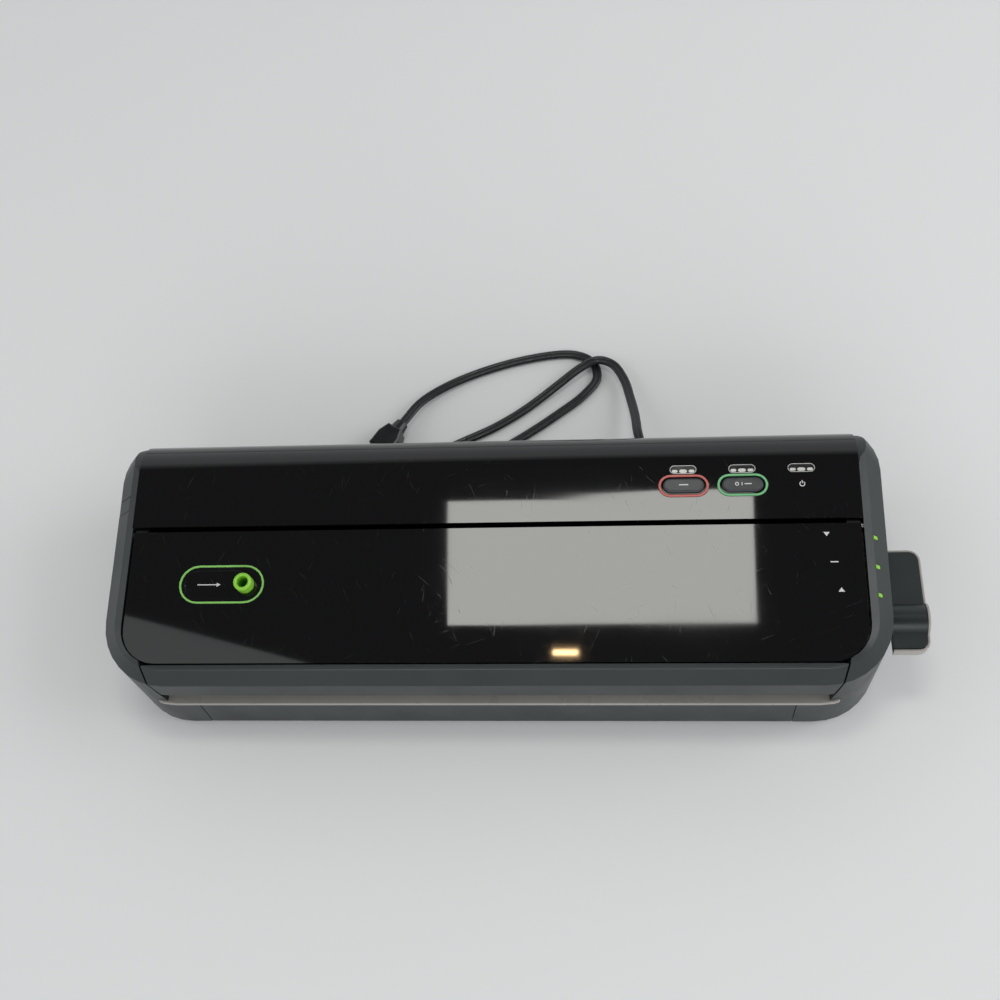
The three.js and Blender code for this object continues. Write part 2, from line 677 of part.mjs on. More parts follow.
function makeDeck() {
  const lipFront = (CREASE_FRONT_Y + SKIRT_FRONT_Y) / 2 - LIP_OVERHANG;
  const lipRear = lipFront + LIP_DEPTH;
  const plateFront = lipRear + CLEARANCE;
  const plate = box(-DECK_HALF_WIDTH, DECK_HALF_WIDTH, plateFront, DECK_REAR_Y, DECK_BOTTOM, DECK_TOP);
  const opening = slab(racetrack(TROUGH_WALL + CLEARANCE), BELOW, ABOVE);
  add('sealing_deck', plate.subtract(opening), paint.black);

  const tub = slab(racetrack(TROUGH_WALL), DECK_TOP - CHANNEL_DROP - TROUGH_WALL, DECK_TOP);
  const hollow = slab(racetrack(0), DECK_TOP - CHANNEL_DROP, ABOVE);
  const port = new THREE.CylinderGeometry(2.2, 2.2, 10, 12);
  port.translate(VACUUM_X, CHANNEL_Y + CHANNEL_DEPTH / 2, INLET_Z);
  add('vacuum_trough', tub.subtract(hollow).subtract(solidOf(port)), paint.black);

  const lip = hull(-LIP_OVERHANG, 0, BELOW).intersect(
    box(-DECK_HALF_WIDTH, DECK_HALF_WIDTH, -FAR, lipRear, DECK_BOTTOM + 0.5, DECK_TOP),
  );
  add('front_lip', lip, paint.silver);

  const top = DECK_TOP + CLEARANCE;
  const gasket = ring(racetrack(GASKET_MARGIN + GASKET_WIDTH), racetrack(GASKET_MARGIN));
  add('lower_gasket', slab(gasket, top, top + LOWER_GASKET_HEIGHT), paint.foam);
  const upperTop = TRAY_BOTTOM - CLEARANCE;
  add('upper_gasket', slab(gasket, upperTop - UPPER_GASKET_HEIGHT, upperTop), paint.foam);

  const heaterHalf = CHANNEL_HALF_WIDTH + 8;
  const heater0 = HEATER_Y - HEATER_WIDTH / 2;
  const heater1 = HEATER_Y + HEATER_WIDTH / 2;
  add('sealing_bar', box(-heaterHalf, heaterHalf, heater0, heater1, top, top + HEATER_HEIGHT), paint.steel);
  const tapeZ = top + HEATER_HEIGHT + CLEARANCE;
  const tape = box(-heaterHalf, heaterHalf, heater0 + 1, heater1 - 1, tapeZ, tapeZ + TAPE_THICKNESS);
  add('sealing_tape', tape, paint.tape);
  const stripZ = tapeZ + TAPE_THICKNESS + CLEARANCE + 0.1;
  const stripHalf = heaterHalf - 3;
  const strip = box(-stripHalf, stripHalf, heater0 + 1, heater1 - 1, stripZ, upperTop);
  add('pressure_strip', strip, paint.rubber);
}

// ------------------------------------------------------------------------------ rear panel, controls

function controlX(i) {
  return SEAL_BUTTON_X + i * BUTTON_SPACING;
}

// The line round a button, made wider by gap on each side
function buttonRing(gap) {
  const shrink = 2 * (BUTTON_RING_LINE + gap);
  return ring(
    stadium(BUTTON_RING_LENGTH + 2 * gap, BUTTON_RING_WIDTH + 2 * gap),
    stadium(BUTTON_RING_LENGTH - shrink, BUTTON_RING_WIDTH - shrink),
  );
}

function makeRearPanel() {
  const half = GAP_HALF_WIDTH - CLEARANCE;
  const front = SPLIT_Y + LID_REAR_GAP;
  const edgeRadius = Math.hypot(SPLIT_Y - LID_REAR_GAP - HINGE_AXIS.y, topZ(SPLIT_Y) - HINGE_AXIS.z);
  const reliefRadius = edgeRadius + LID_RELIEF;
  const flangeY = HINGE_AXIS.y + reliefRadius + 0.3;
  const flangeTop = topZ(flangeY) + REAR_STEP - 1;
  const flangeLow = HINGE_AXIS.z - FLANGE_DROP;
  const flangeHalf = half - 2;
  const flange = box(-flangeHalf, flangeHalf, flangeY, flangeY + WALL / 2, flangeLow, flangeTop);
  let panel = hull(0, REAR_STEP)
    .subtract(hull(REAR_PANEL_THICKNESS, REAR_STEP, BELOW))
    .intersect(box(-half, half, front, FAR, REAR_PANEL_LOW, ABOVE))
    .add(flange)
    .subtract(barX(reliefRadius, -half - 5, half + 5, HINGE_AXIS, 32));
  for (let i = 0; i < 2; i += 1) {
    const hole = flatPiece(stadium(BUTTON_LENGTH + 0.9, BUTTON_WIDTH + 0.9), -8, 8);
    const groove = flatPiece(buttonRing(CLEARANCE), -1.4, 8);
    panel = panel.subtract(onTop(hole, controlX(i), CONTROL_Y, REAR_STEP));
    panel = panel.subtract(onTop(groove, controlX(i), CONTROL_Y, REAR_STEP));
  }
  for (let i = 0; i < 3; i += 1) {
    const window = flatPiece(stadium(LAMP_LENGTH + 2 * CLEARANCE, LAMP_WIDTH + 2 * CLEARANCE), -8, 8);
    panel = panel.subtract(onTop(window, controlX(i), CONTROL_Y + LAMP_OFFSET, REAR_STEP));
  }
  add('rear_panel', panel, paint.gloss);
}

function makeControls() {
  const names = ['seal', 'vacuum', 'power'];
  const colours = [paint.coral, paint.mint];
  for (let i = 0; i < 3; i += 1) {
    const lens = flatPiece(stadium(LAMP_LENGTH, LAMP_WIDTH), -2.4, -0.4);
    add(`${names[i]}_lamp_lens`, onTop(lens, controlX(i), CONTROL_Y + LAMP_OFFSET, REAR_STEP), paint.lens);
  }
  for (let i = 0; i < 2; i += 1) {
    const band = onTop(flatPiece(buttonRing(0), -1.1, 0.15), controlX(i), CONTROL_Y, REAR_STEP);
    add(`${names[i]}_button_ring`, band, colours[i]);
    const face = stadium(BUTTON_LENGTH - 2 * BUTTON_BEVEL, BUTTON_WIDTH - 2 * BUTTON_BEVEL);
    const cap = new THREE.ExtrudeGeometry(new THREE.Shape(face), {
      depth: BUTTON_SKIRT + BUTTON_PROUD - BUTTON_BEVEL,
      bevelThickness: BUTTON_BEVEL,
      bevelSize: BUTTON_BEVEL,
      bevelSegments: 1,
      curveSegments: 8,
    });
    cap.translate(0, 0, -BUTTON_SKIRT);
    add(`${names[i]}_button`, onTop(cap, controlX(i), CONTROL_Y, REAR_STEP), paint.slate);
  }
}

// The board under the rear panel, with the switch that each button presses
function makeBoard() {
  const half = BUTTON_SPACING + 20;
  const plate = flatPiece(outline(half, -8, 14, 1, 1, 1, 1), -BOARD_DEPTH - 1.6, -BOARD_DEPTH);
  let board = onTop(plate, controlX(1), CONTROL_Y, REAR_STEP);
  for (let i = 0; i < 2; i += 1) {
    const body = flatPiece(outline(3, -3, 3, 0.5, 0.5, 1, 1), -BOARD_DEPTH - 0.5, SWITCH_TOP);
    board = board.add(onTop(body, controlX(i), CONTROL_Y, REAR_STEP));
  }
  add('control_board', board, paint.board);
}

// ------------------------------------------------------------------------------------- inner machinery

function makePump() {
  const shaftEnd = PUMP.x1 + SHAFT_GAP;
  const head = box(PUMP.x0, PUMP.x1, PUMP.y0, PUMP.y1, PUMP.z0, PUMP.z1);
  const inlet = new THREE.CylinderGeometry(HOSE_RADIUS + 0.8, HOSE_RADIUS + 0.8, 8, 12);
  inlet.translate(VACUUM_X, PUMP.y0, INLET_Z);
  add('pump_head', head.subtract(solidOf(inlet)), paint.black);
  const motor = barX(MOTOR_RADIUS, shaftEnd, shaftEnd + MOTOR_LENGTH, MOTOR_AXIS);
  const nose = barX(5, shaftEnd - 1.5, shaftEnd + 1, MOTOR_AXIS, 16);
  add('pump_motor', motor.add(nose), paint.steel);
  const offCentre = { y: MOTOR_AXIS.y + ECCENTRIC_THROW, z: MOTOR_AXIS.z };
  const eccentric = barX(ECCENTRIC_RADIUS, PUMP.x1 + 1, PUMP.x1 + 7, offCentre, 20);
  const stub = barX(2, PUMP.x1 + 6, shaftEnd - 1.8, MOTOR_AXIS, 12);
  add('pump_eccentric', eccentric.add(stub), paint.brass);
  const half = MOTOR_RADIUS - 3;
  const low = PAN_FLOOR + 0.5;
  const high = MOTOR_AXIS.z - MOTOR_RADIUS + 4;
  const block = box(
    shaftEnd + 4,
    shaftEnd + MOTOR_LENGTH - 4,
    MOTOR_AXIS.y - half,
    MOTOR_AXIS.y + half,
    low,
    high,
  );
  const bed = barX(MOTOR_RADIUS + CLEARANCE, shaftEnd, shaftEnd + MOTOR_LENGTH, MOTOR_AXIS);
  add('motor_cradle', block.subtract(bed), paint.rubber);
  const troughRear = CHANNEL_Y + CHANNEL_DEPTH / 2 + TROUGH_WALL;
  const from = new THREE.Vector3(VACUUM_X, troughRear + 3 * CLEARANCE, INLET_Z);
  const to = new THREE.Vector3(VACUUM_X, PUMP.y0 + 3, INLET_Z);
  const section = new THREE.Shape().absarc(0, 0, HOSE_RADIUS, 0, 2 * Math.PI);
  const tube = new THREE.ExtrudeGeometry(section, {
    steps: 6,
    curveSegments: 6,
    extrudePath: new THREE.CatmullRomCurve3([from, from.clone().lerp(to, 0.5).setX(VACUUM_X + 3), to]),
  });
  add('vacuum_hose', solidOf(tube), paint.hose);
}

function makeTransformer() {
  const y = SPLIT_Y + 29;
  const block = (width, depth, low, high) =>
    box(TRANSFORMER_X - width / 2, TRANSFORMER_X + width / 2, y - depth / 2, y + depth / 2, low, high);
  const core = block(CORE_WIDTH, CORE_DEPTH, PAN_FLOOR + 0.5, CORE_TOP);
  const coil = block(COIL_WIDTH, COIL_DEPTH, PAN_FLOOR + 6.7, CORE_TOP - 6);
  add('transformer', core.add(coil), paint.copper);
}

// ---------------------------------------------------------------------------------------------- lid

function onLid(points, low, high, x = 0, y = 0) {
  return onTop(flatPiece(points, low, high), x, y, 0);
}

function makeLid() {
  const panelHalf = GAP_HALF_WIDTH - SIDE_GAP;
  const rear = SPLIT_Y - LID_REAR_GAP;
  const barrelX = panelHalf - 0.2;
  const barrelClear = HINGE_BARREL_RADIUS + CLEARANCE;
  let panel = slopedPlate(
    outline(panelHalf, LID_FRONT_Y + CLEARANCE, rear, GAP_CORNER - SIDE_GAP, 1, 7, 2),
    LID_THICKNESS,
    0,
  );
  const frameOutline = outline(panelHalf - 0.8, LID_FRONT_Y + 1, rear - 0.6, GAP_CORNER - 2, 1, 7, 2);
  const frameTop = LID_THICKNESS + CLEARANCE;
  const frameBottom = frameTop + FRAME_THICKNESS;
  let frame = slopedPlate(frameOutline, frameBottom, frameTop);
  const wallOuter = outline(TRAY_HALF_WIDTH, LID_FRONT_Y + 4, rear - 3, 3, 3, 2, 2);
  const wallInner = outline(TRAY_HALF_WIDTH - 2.5, LID_FRONT_Y + 6.5, rear - 5.5, 1, 1, 1, 1);
  const trayTop = TRAY_BOTTOM + TRAY_THICKNESS;
  const walls = loft([
    { points: wallOuter, height: trayTop + CLEARANCE },
    { points: wallOuter, height: (y) => topZ(y) - frameTop - 1 },
  ]).subtract(
    loft([
      { points: wallInner, height: trayTop - 5 },
      { points: wallInner, height: (y) => topZ(y) - frameBottom },
    ]),
  );
  frame = frame.add(walls);
  for (const side of [-1, 1]) {
    const x0 = side * (barrelX - HINGE_BARREL_LENGTH);
    const x1 = side * barrelX;
    const low = Math.min(x0, x1);
    const high = Math.max(x0, x1);
    panel = panel.subtract(barX(barrelClear, low - 0.4, high + 5, HINGE_AXIS));
    frame = frame.add(barX(HINGE_BARREL_RADIUS, low, high, HINGE_AXIS));
    frame = frame.subtract(barX(HINGE_PIN_RADIUS + CLEARANCE, low - 5, high + 5, HINGE_AXIS, 16));
    const pinIn = side * (barrelX - HINGE_BARREL_LENGTH + 0.5);
    const pinOut = side * (STRIP_HALF_WIDTH - 0.4);
    const pin = barX(HINGE_PIN_RADIUS, Math.min(pinIn, pinOut), Math.max(pinIn, pinOut), HINGE_AXIS, 16);
    add(side < 0 ? 'left_hinge_pin' : 'right_hinge_pin', pin, paint.steel);
  }
  const tubeX = PORT_X + PORT_TUBE_OFFSET;
  const recess = stadium(PORT_LENGTH + 2 * CLEARANCE, PORT_WIDTH + 2 * CLEARANCE);
  panel = panel.subtract(onLid(recess, -1.5, 8, PORT_X, PORT_Y));
  const holeRadius = PORT_TUBE_RADIUS + CLEARANCE;
  const tubeHole = new THREE.CylinderGeometry(holeRadius, holeRadius, 40, 24).rotateX(Math.PI / 2);
  const bore = onTop(tubeHole, tubeX, PORT_Y, 0);
  panel = panel.subtract(bore);
  frame = frame.subtract(bore);
  add('lid_panel', panel, paint.gloss);
  add('lid_frame', frame, paint.black);

  const portRing = ring(
    stadium(PORT_LENGTH, PORT_WIDTH),
    stadium(PORT_LENGTH - 2 * PORT_LINE, PORT_WIDTH - 2 * PORT_LINE),
  );
  add('port_ring', onLid(portRing, -1.2, 0.15, PORT_X, PORT_Y), paint.portGreen);
  const plateLength = PORT_LENGTH - 2 * PORT_LINE - 2 * CLEARANCE;
  const plateWidth = PORT_WIDTH - 2 * PORT_LINE - 2 * CLEARANCE;
  const plate = onLid(stadium(plateLength, plateWidth), -1.2, -0.1, PORT_X, PORT_Y)
    .subtract(onLid(stadium(plateLength - 3.4, plateWidth - 3.4), -0.7, 2, PORT_X, PORT_Y))
    .subtract(bore);
  add('port_plate', plate, paint.gloss);
  const tube = new THREE.LatheGeometry(
    [
      v2(PORT_TUBE_BORE, -9),
      v2(PORT_TUBE_RADIUS, -9),
      v2(PORT_TUBE_RADIUS, PORT_TUBE_HEIGHT - 0.8),
      v2(PORT_TUBE_RADIUS - 0.7, PORT_TUBE_HEIGHT),
      v2(PORT_TUBE_BORE + 0.5, PORT_TUBE_HEIGHT),
      v2(PORT_TUBE_BORE, PORT_TUBE_HEIGHT - 0.6),
      v2(PORT_TUBE_BORE, -9),
    ],
    24,
  );
  add('port_tube', onTop(tube.rotateX(Math.PI / 2), tubeX, PORT_Y, 0), paint.lime);

  const trayFront = CREASE_FRONT_Y - 0.1 + WALL + 1.5;
  const tray = box(-TRAY_HALF_WIDTH, TRAY_HALF_WIDTH, trayFront, rear - 2.8, TRAY_BOTTOM, trayTop);
  add('lid_inner_tray', tray, paint.black);

  const bar = shell
    .intersect(betweenSeams(-CLEARANCE, BAR_BOTTOM))
    .intersect(box(-FAR, FAR, -FAR, LID_FRONT_Y - CLEARANCE, BAR_BOTTOM, ABOVE));
  const ribZ = BAR_BOTTOM + 7.6;
  const ribRear = LID_FRONT_Y + 4 - CLEARANCE;
  const rib = box(-TRAY_HALF_WIDTH, TRAY_HALF_WIDTH, CREASE_FRONT_Y + 2, ribRear, ribZ, ribZ + 2.5);
  add('lid_front_bar', bar.add(rib), paint.slate);

  const catchTop = topZ(LATCH_AXIS.y - 6) - frameBottom - CLEARANCE - 0.2;
  const hook = box(
    CATCH_X - CATCH_WIDTH / 2,
    CATCH_X + CATCH_WIDTH / 2,
    LATCH_AXIS.y - 6,
    LATCH_AXIS.y - 2,
    LATCH_AXIS.z + 7.5,
    catchTop,
  );
  add('lid_catch', hook, paint.steel);
}

// --------------------------------------------------------------------------------------------- latch

function makeLatch() {
  const x0 = HALF_WIDTH + LEVER_STAND_OFF;
  const rimX = x0 + LEVER_WIDTH;
  const rear = LATCH_AXIS.y + LEVER_REACH;
  const front = LATCH_AXIS.y - LEVER_TAIL;
  const wingLow = LATCH_AXIS.z - LEVER_THICKNESS / 2;
  const wingHigh = LATCH_AXIS.z + LEVER_THICKNESS / 2;
  const plan = (inset) => {
    const radius = LEVER_CORNER - inset;
    const points = [v2(x0, front + inset)];
    for (const [cy, start] of [[front + LEVER_CORNER, -Math.PI / 2], [rear - LEVER_CORNER, 0]]) {
      for (let i = 0; i <= 5; i += 1) {
        const angle = start + (i / 5) * (Math.PI / 2);
        points.push(v2(rimX - LEVER_CORNER + radius * Math.cos(angle), cy + radius * Math.sin(angle)));
      }
    }
    points.push(v2(x0, rear - inset));
    return points;
  };
  const wingX = rimX - LEVER_RIM - CLEARANCE;
  const bore = barX(LATCH_SHAFT_RADIUS + CLEARANCE, x0 - 1, rimX - 4.5, LATCH_AXIS);
  const lever = slab(plan(LEVER_RIM + CLEARANCE), wingLow + 1, wingHigh)
    .add(barX(LEVER_HUB_RADIUS, x0, wingX, LATCH_AXIS, 32))
    .subtract(bore);
  add('latch_lever', lever, paint.slate);
  const hubClear = barX(LEVER_HUB_RADIUS + CLEARANCE, x0 - 1, wingX + CLEARANCE, LATCH_AXIS, 32);
  const rim = slab(plan(0), wingLow, wingHigh - 1)
    .subtract(slab(plan(LEVER_RIM), wingLow - 1, ABOVE))
    .subtract(hubClear)
    .add(barX(LEVER_HUB_RADIUS + 0.4, wingX + CLEARANCE, rimX, LATCH_AXIS, 32));
  add('lever_rim', rim, paint.rim);

  const shaftIn = CATCH_X - CATCH_WIDTH / 2 - 2;
  add('latch_shaft', barX(LATCH_SHAFT_RADIUS, shaftIn, rimX - 5, LATCH_AXIS), paint.steel);
  const camLeft = CATCH_X - CAM_WIDTH / 2;
  const camRight = CATCH_X + CAM_WIDTH / 2;
  const cam = barX(CAM_RADIUS, camLeft, camRight, LATCH_AXIS, 20)
    .add(box(camLeft, camRight, LATCH_AXIS.y - 11, LATCH_AXIS.y, LATCH_AXIS.z - 6, LATCH_AXIS.z - 2.5))
    .subtract(barX(LATCH_SHAFT_RADIUS + CLEARANCE, camLeft - 5, camRight + 5, LATCH_AXIS));
  add('latch_cam', cam, paint.steel);
  const bushIn = HALF_WIDTH - 6;
  const bush = barX(LATCH_BUSH_RADIUS, bushIn, x0 - 0.4, LATCH_AXIS)
    .add(barX(LATCH_BUSH_RADIUS + 2.5, bushIn, HALF_WIDTH - WALL - 1.4, LATCH_AXIS))
    .subtract(barX(LATCH_SHAFT_RADIUS + CLEARANCE, bushIn - 5, x0 + 5, LATCH_AXIS));
  add('latch_bush', bush, paint.rubber);
}

// --------------------------------------------------------------------------------------- mains lead

function makeLead() {
  const path = new THREE.CatmullRomCurve3(CORD_ROUTE.map(([x, y, z]) => new THREE.Vector3(x, y, z)));
  const section = [];
  for (let i = 0; i < 8; i += 1) {
    const angle = ((i + 0.5) / 8) * 2 * Math.PI;
    const stretch = 1 / Math.cos(Math.PI / 8);
    section.push(
      v2(
        (stretch * CORD_THICKNESS * Math.cos(angle)) / 2,
        (stretch * CORD_WIDTH * Math.sin(angle)) / 2,
      ),
    );
  }
  const tube = new THREE.ExtrudeGeometry(new THREE.Shape(section), { steps: CORD_STEPS, extrudePath: path });
  add('mains_cord', solidOf(tube), paint.cord, lead);

  const relief = new THREE.LatheGeometry(
    [
      v2(0, -8.2),
      v2(RELIEF_RADIUS + 2, -8.2),
      v2(RELIEF_RADIUS + 2, -6.8),
      v2(RELIEF_RADIUS, -6.8),
      v2(RELIEF_RADIUS, 1),
      v2(RELIEF_RADIUS - 1.4, RELIEF_LENGTH),
      v2(0, RELIEF_LENGTH),
    ],
    16,
  );
  add('strain_relief', solidOf(relief.translate(CORD_EXIT.x, REAR_Y, CORD_EXIT.z)), paint.rubber, lead);

  const band = ring(tieLoop(0), tieLoop(TIE.wall));
  add('cord_tie', beam(band, TIE.x - TIE.width / 2, TIE.x + TIE.width / 2), paint.rubber, lead);
  makePlug(path);
}

// A loop in Y and Z round both strands of the bight
function tieLoop(inset) {
  const y0 = TIE.y - TIE.half + inset;
  const y1 = TIE.y + TIE.half - inset;
  const z0 = TIE.low + inset;
  const z1 = TIE.high - inset;
  return [v2(y0, z0), v2(y1, z0), v2(y1, z1), v2(y0, z1)];
}

function makePlug(path) {
  const end = path.getPoint(1);
  const heading = path.getTangent(1).setZ(0).normalize();
  const turn = Math.atan2(heading.y, heading.x);
  const place = (geometry) =>
    solidOf(geometry.translate(CLEARANCE, 0, 0).rotateZ(turn).translate(end.x, end.y, end.z));
  const collar = new THREE.CylinderGeometry(5, 4, PLUG_COLLAR, 12);
  collar.rotateZ(-Math.PI / 2).translate(PLUG_COLLAR / 2, 0, 0);
  const half = PLUG_WIDTH / 2;
  const nose = PLUG_COLLAR + PLUG_LENGTH;
  const body = new THREE.ExtrudeGeometry(
    new THREE.Shape([
      v2(PLUG_COLLAR - 1, -5),
      v2(PLUG_COLLAR + 6, -half),
      v2(nose, -half),
      v2(nose, half),
      v2(PLUG_COLLAR + 6, half),
      v2(PLUG_COLLAR - 1, 5),
    ]),
    {
      depth: PLUG_THICKNESS - 2 * PLUG_BEVEL,
      bevelThickness: PLUG_BEVEL,
      bevelSize: PLUG_BEVEL,
      bevelOffset: -PLUG_BEVEL,
      bevelSegments: 1,
    },
  );
  body.translate(0, 0, PLUG_BEVEL - PLUG_THICKNESS / 2);
  add('plug_body', place(collar).add(place(body)), paint.cord, lead);
  for (const side of [-1, 1]) {
    const blade = new THREE.BoxGeometry(BLADE.length, BLADE.width, BLADE.height);
    blade.translate(nose + CLEARANCE + BLADE.length / 2, (side * BLADE.spacing) / 2, 0);
    add(side < 0 ? 'plug_blade_1' : 'plug_blade_2', place(blade), paint.brass, lead);
  }
}

// ------------------------------------------------------------------------------------------ assembly

makeBase();
makeScrewsAndFeet();
makeCap(-1);
makeCap(1);
makeMarks();
makeLowerFront();
makeDeck();
makeRearPanel();
makeControls();
makeBoard();
makePump();
makeTransformer();
makeLid();
makeLatch();
makeLead();

// The origin is the middle of the machine's footprint, at the bottom of its feet
const extent = new THREE.Box3().setFromObject(machine);
const middle = extent.getCenter(new THREE.Vector3());
const vacuumSealer = new THREE.Group();
vacuumSealer.add(machine, lead);
vacuumSealer.position.set(-middle.x, -middle.y, -extent.min.z);

export default vacuumSealer;
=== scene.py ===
# Countertop vacuum sealer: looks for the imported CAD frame. Metres, the CAD's own axes.
import json
import math

import bmesh
import bpy
from mathutils import Matrix, Vector


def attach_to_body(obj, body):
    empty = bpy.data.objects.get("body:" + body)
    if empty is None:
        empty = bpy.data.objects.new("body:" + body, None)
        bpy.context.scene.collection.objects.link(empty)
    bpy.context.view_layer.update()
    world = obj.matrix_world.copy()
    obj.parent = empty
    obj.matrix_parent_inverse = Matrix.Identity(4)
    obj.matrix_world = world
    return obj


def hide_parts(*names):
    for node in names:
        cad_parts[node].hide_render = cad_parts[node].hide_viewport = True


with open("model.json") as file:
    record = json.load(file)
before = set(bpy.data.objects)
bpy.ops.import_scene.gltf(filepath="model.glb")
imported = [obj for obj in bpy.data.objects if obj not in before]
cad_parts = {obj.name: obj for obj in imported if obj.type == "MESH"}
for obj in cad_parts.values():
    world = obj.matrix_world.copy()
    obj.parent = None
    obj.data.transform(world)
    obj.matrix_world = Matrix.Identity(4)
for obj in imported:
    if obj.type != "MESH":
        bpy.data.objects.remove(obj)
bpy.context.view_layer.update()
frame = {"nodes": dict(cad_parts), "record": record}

MM = 0.001
NODES = frame["nodes"]
BODY_OF = {n: b for b, names in frame["record"]["behaviour"]["bodies"].items() for n in names}
SLOT_OF = {s["node"]: s["material_slot"] for s in frame["record"]["subparts"]}
SCENE = bpy.context.scene

# The part's source has its own frame, with the origin on the machine's long axis
SHIFT = Vector((-9.85, 3.35, 0.0))
SLOPE = math.radians(6.88)
SPLIT_Y, SPLIT_Z = 9.8, 74.1
REAR_STEP = 1.7


def row(x, y, z=0.0):
    """A point of the part's source, in mm, as a point of the shared frame, in metres."""
    return (Vector((x, y, z)) + SHIFT) * MM


def top_z(y):
    return SPLIT_Z + (y - SPLIT_Y) * math.tan(SLOPE)


def on_top(x, y, lift=0.0):
    """Puts what is drawn flat in mm round the origin on the sloping top at (x, y)."""
    place = Matrix.Translation(row(x, y, top_z(y) + lift))
    return place @ Matrix.Rotation(SLOPE, 4, "X") @ Matrix.Scale(MM, 4)


# ---------------------------------------------------------------------------------------- camera

CAMERA_AT = row(73.75, -282.1, 677.14)
RIGHT = Vector((0.99490, 0.03070, -0.09606))
UP = Vector((0.01615, 0.89172, 0.45229))
FORWARD = Vector((-0.09954, 0.45154, -0.88668))
LENS, SENSOR = 45.9, 36.0


def basis(x_axis, y_axis, z_axis, at):
    m = Matrix((x_axis, y_axis, z_axis)).transposed().to_4x4()
    m.translation = at
    return m


def add_object(name, data):
    obj = bpy.data.objects.new(name, data)
    SCENE.collection.objects.link(obj)
    return obj


camera = add_object("camera", bpy.data.cameras.new("camera"))
camera.data.lens = LENS
camera.data.sensor_width = SENSOR
camera.data.clip_start = 0.01
camera.matrix_world = basis(RIGHT, UP, -FORWARD, CAMERA_AT)
SCENE.camera = camera


# --------------------------------------------------------------------------------------- materials

class Shader:
    """A material's node tree, with short ways to add what the finishes below need."""

    def __init__(self, name):
        self.material = bpy.data.materials.new(name)
        self.material.use_nodes = True
        self.nodes = self.material.node_tree.nodes
        self.links = self.material.node_tree.links
        self.bsdf = self.nodes["Principled BSDF"]
        self.place = self.add("ShaderNodeTexCoord").outputs["Object"]

    def add(self, kind, **values):
        node = self.nodes.new(kind)
        for key, value in values.items():
            setattr(node, key, value)
        return node

    def put(self, socket, value):
        if isinstance(value, bpy.types.NodeSocket):
            self.links.new(value, socket)
        else:
            socket.default_value = value

    def stretched(self, scale, turn=0.0):
        node = self.add("ShaderNodeMapping", vector_type="TEXTURE")
        self.put(node.inputs["Vector"], self.place)
        node.inputs["Scale"].default_value = [1.0 / v for v in scale]
        node.inputs["Rotation"].default_value = (0.0, 0.0, turn)
        return node.outputs["Vector"]

    def noise(self, scale, detail=2.0, vector=None, rough=0.5):
        node = self.add("ShaderNodeTexNoise")
        self.put(node.inputs["Vector"], vector or self.place)
        node.inputs["Scale"].default_value = scale
        node.inputs["Detail"].default_value = detail
        node.inputs["Roughness"].default_value = rough
        return node.outputs["Fac"]

    def cells(self, scale, feature="F1"):
        node = self.add("ShaderNodeTexVoronoi", feature=feature)
        self.put(node.inputs["Vector"], self.place)
        node.inputs["Scale"].default_value = scale
        return node.outputs["Distance"]

    def between(self, value, low, high, to_low, to_high):
        node = self.add("ShaderNodeMapRange")
        self.put(node.inputs["Value"], value)
        numbers = (low, high, to_low, to_high)
        for key, number in zip(("From Min", "From Max", "To Min", "To Max"), numbers):
            self.put(node.inputs[key], number)
        return node.outputs["Result"]

    def math(self, operation, a, b):
        node = self.add("ShaderNodeMath", operation=operation)
        self.put(node.inputs[0], a)
        self.put(node.inputs[1], b)
        return node.outputs[0]

    def blend(self, factor, a, b):
        node = self.add("ShaderNodeMix", data_type="RGBA")
        self.put(node.inputs["Factor"], factor)
        self.put(node.inputs["A"], (*a, 1.0) if isinstance(a, tuple) else a)
        self.put(node.inputs["B"], (*b, 1.0) if isinstance(b, tuple) else b)
        return node.outputs["Result"]

    def bump(self, height, strength, distance, normal=None):
        node = self.add("ShaderNodeBump")
        node.inputs["Strength"].default_value = strength
        node.inputs["Distance"].default_value = distance
        self.put(node.inputs["Height"], height)
        if normal:
            self.put(node.inputs["Normal"], normal)
        return node.outputs["Normal"]

    def set(self, **values):
        for key, value in values.items():
            socket = self.bsdf.inputs[key.replace("_", " ")]
            if isinstance(value, tuple) and len(value) == 3:
                value = (*value, 1.0)
            self.put(socket, value)
        return self.material


def scratches(s, turns, threshold=0.74):
    """Thin, short, broken lines in several directions, from 0 to 1."""
    total = None
    for i, (turn, length) in enumerate(turns):
        lines = s.noise(1.0, 1.0, s.stretched((length, 2600.0, length), turn), 0.4)
        patch = s.noise(26.0 + 9.0 * i, 2.0)
        line = s.math("MULTIPLY", s.between(lines, threshold, threshold + 0.04, 0.0, 1.0),
                      s.between(patch, 0.5, 0.62, 0.0, 1.0))
        total = line if total is None else s.math("MAXIMUM", total, line)
    return total


def gloss(name, colour, wear):
    s = Shader(name)
    lines = scratches(s, ((0.35, 55.0), (1.15, 70.0), (-0.75, 80.0), (2.0, 65.0), (1.5, 60.0)))
    haze = s.noise(9.0, 3.0)
    tint = s.blend(s.math("MULTIPLY", lines, wear), colour, (0.026, 0.026, 0.028))
    roughness = s.math("ADD", s.between(haze, 0.3, 0.7, 0.018, 0.045), s.math("MULTIPLY", lines, 0.12))
    normal = s.bump(s.noise(14.0, 1.0), 0.03, 0.0006)
    normal = s.bump(lines, -0.1, 0.00003, normal)
    return s.set(Base_Color=tint, Roughness=roughness, Normal=normal, IOR=1.5)


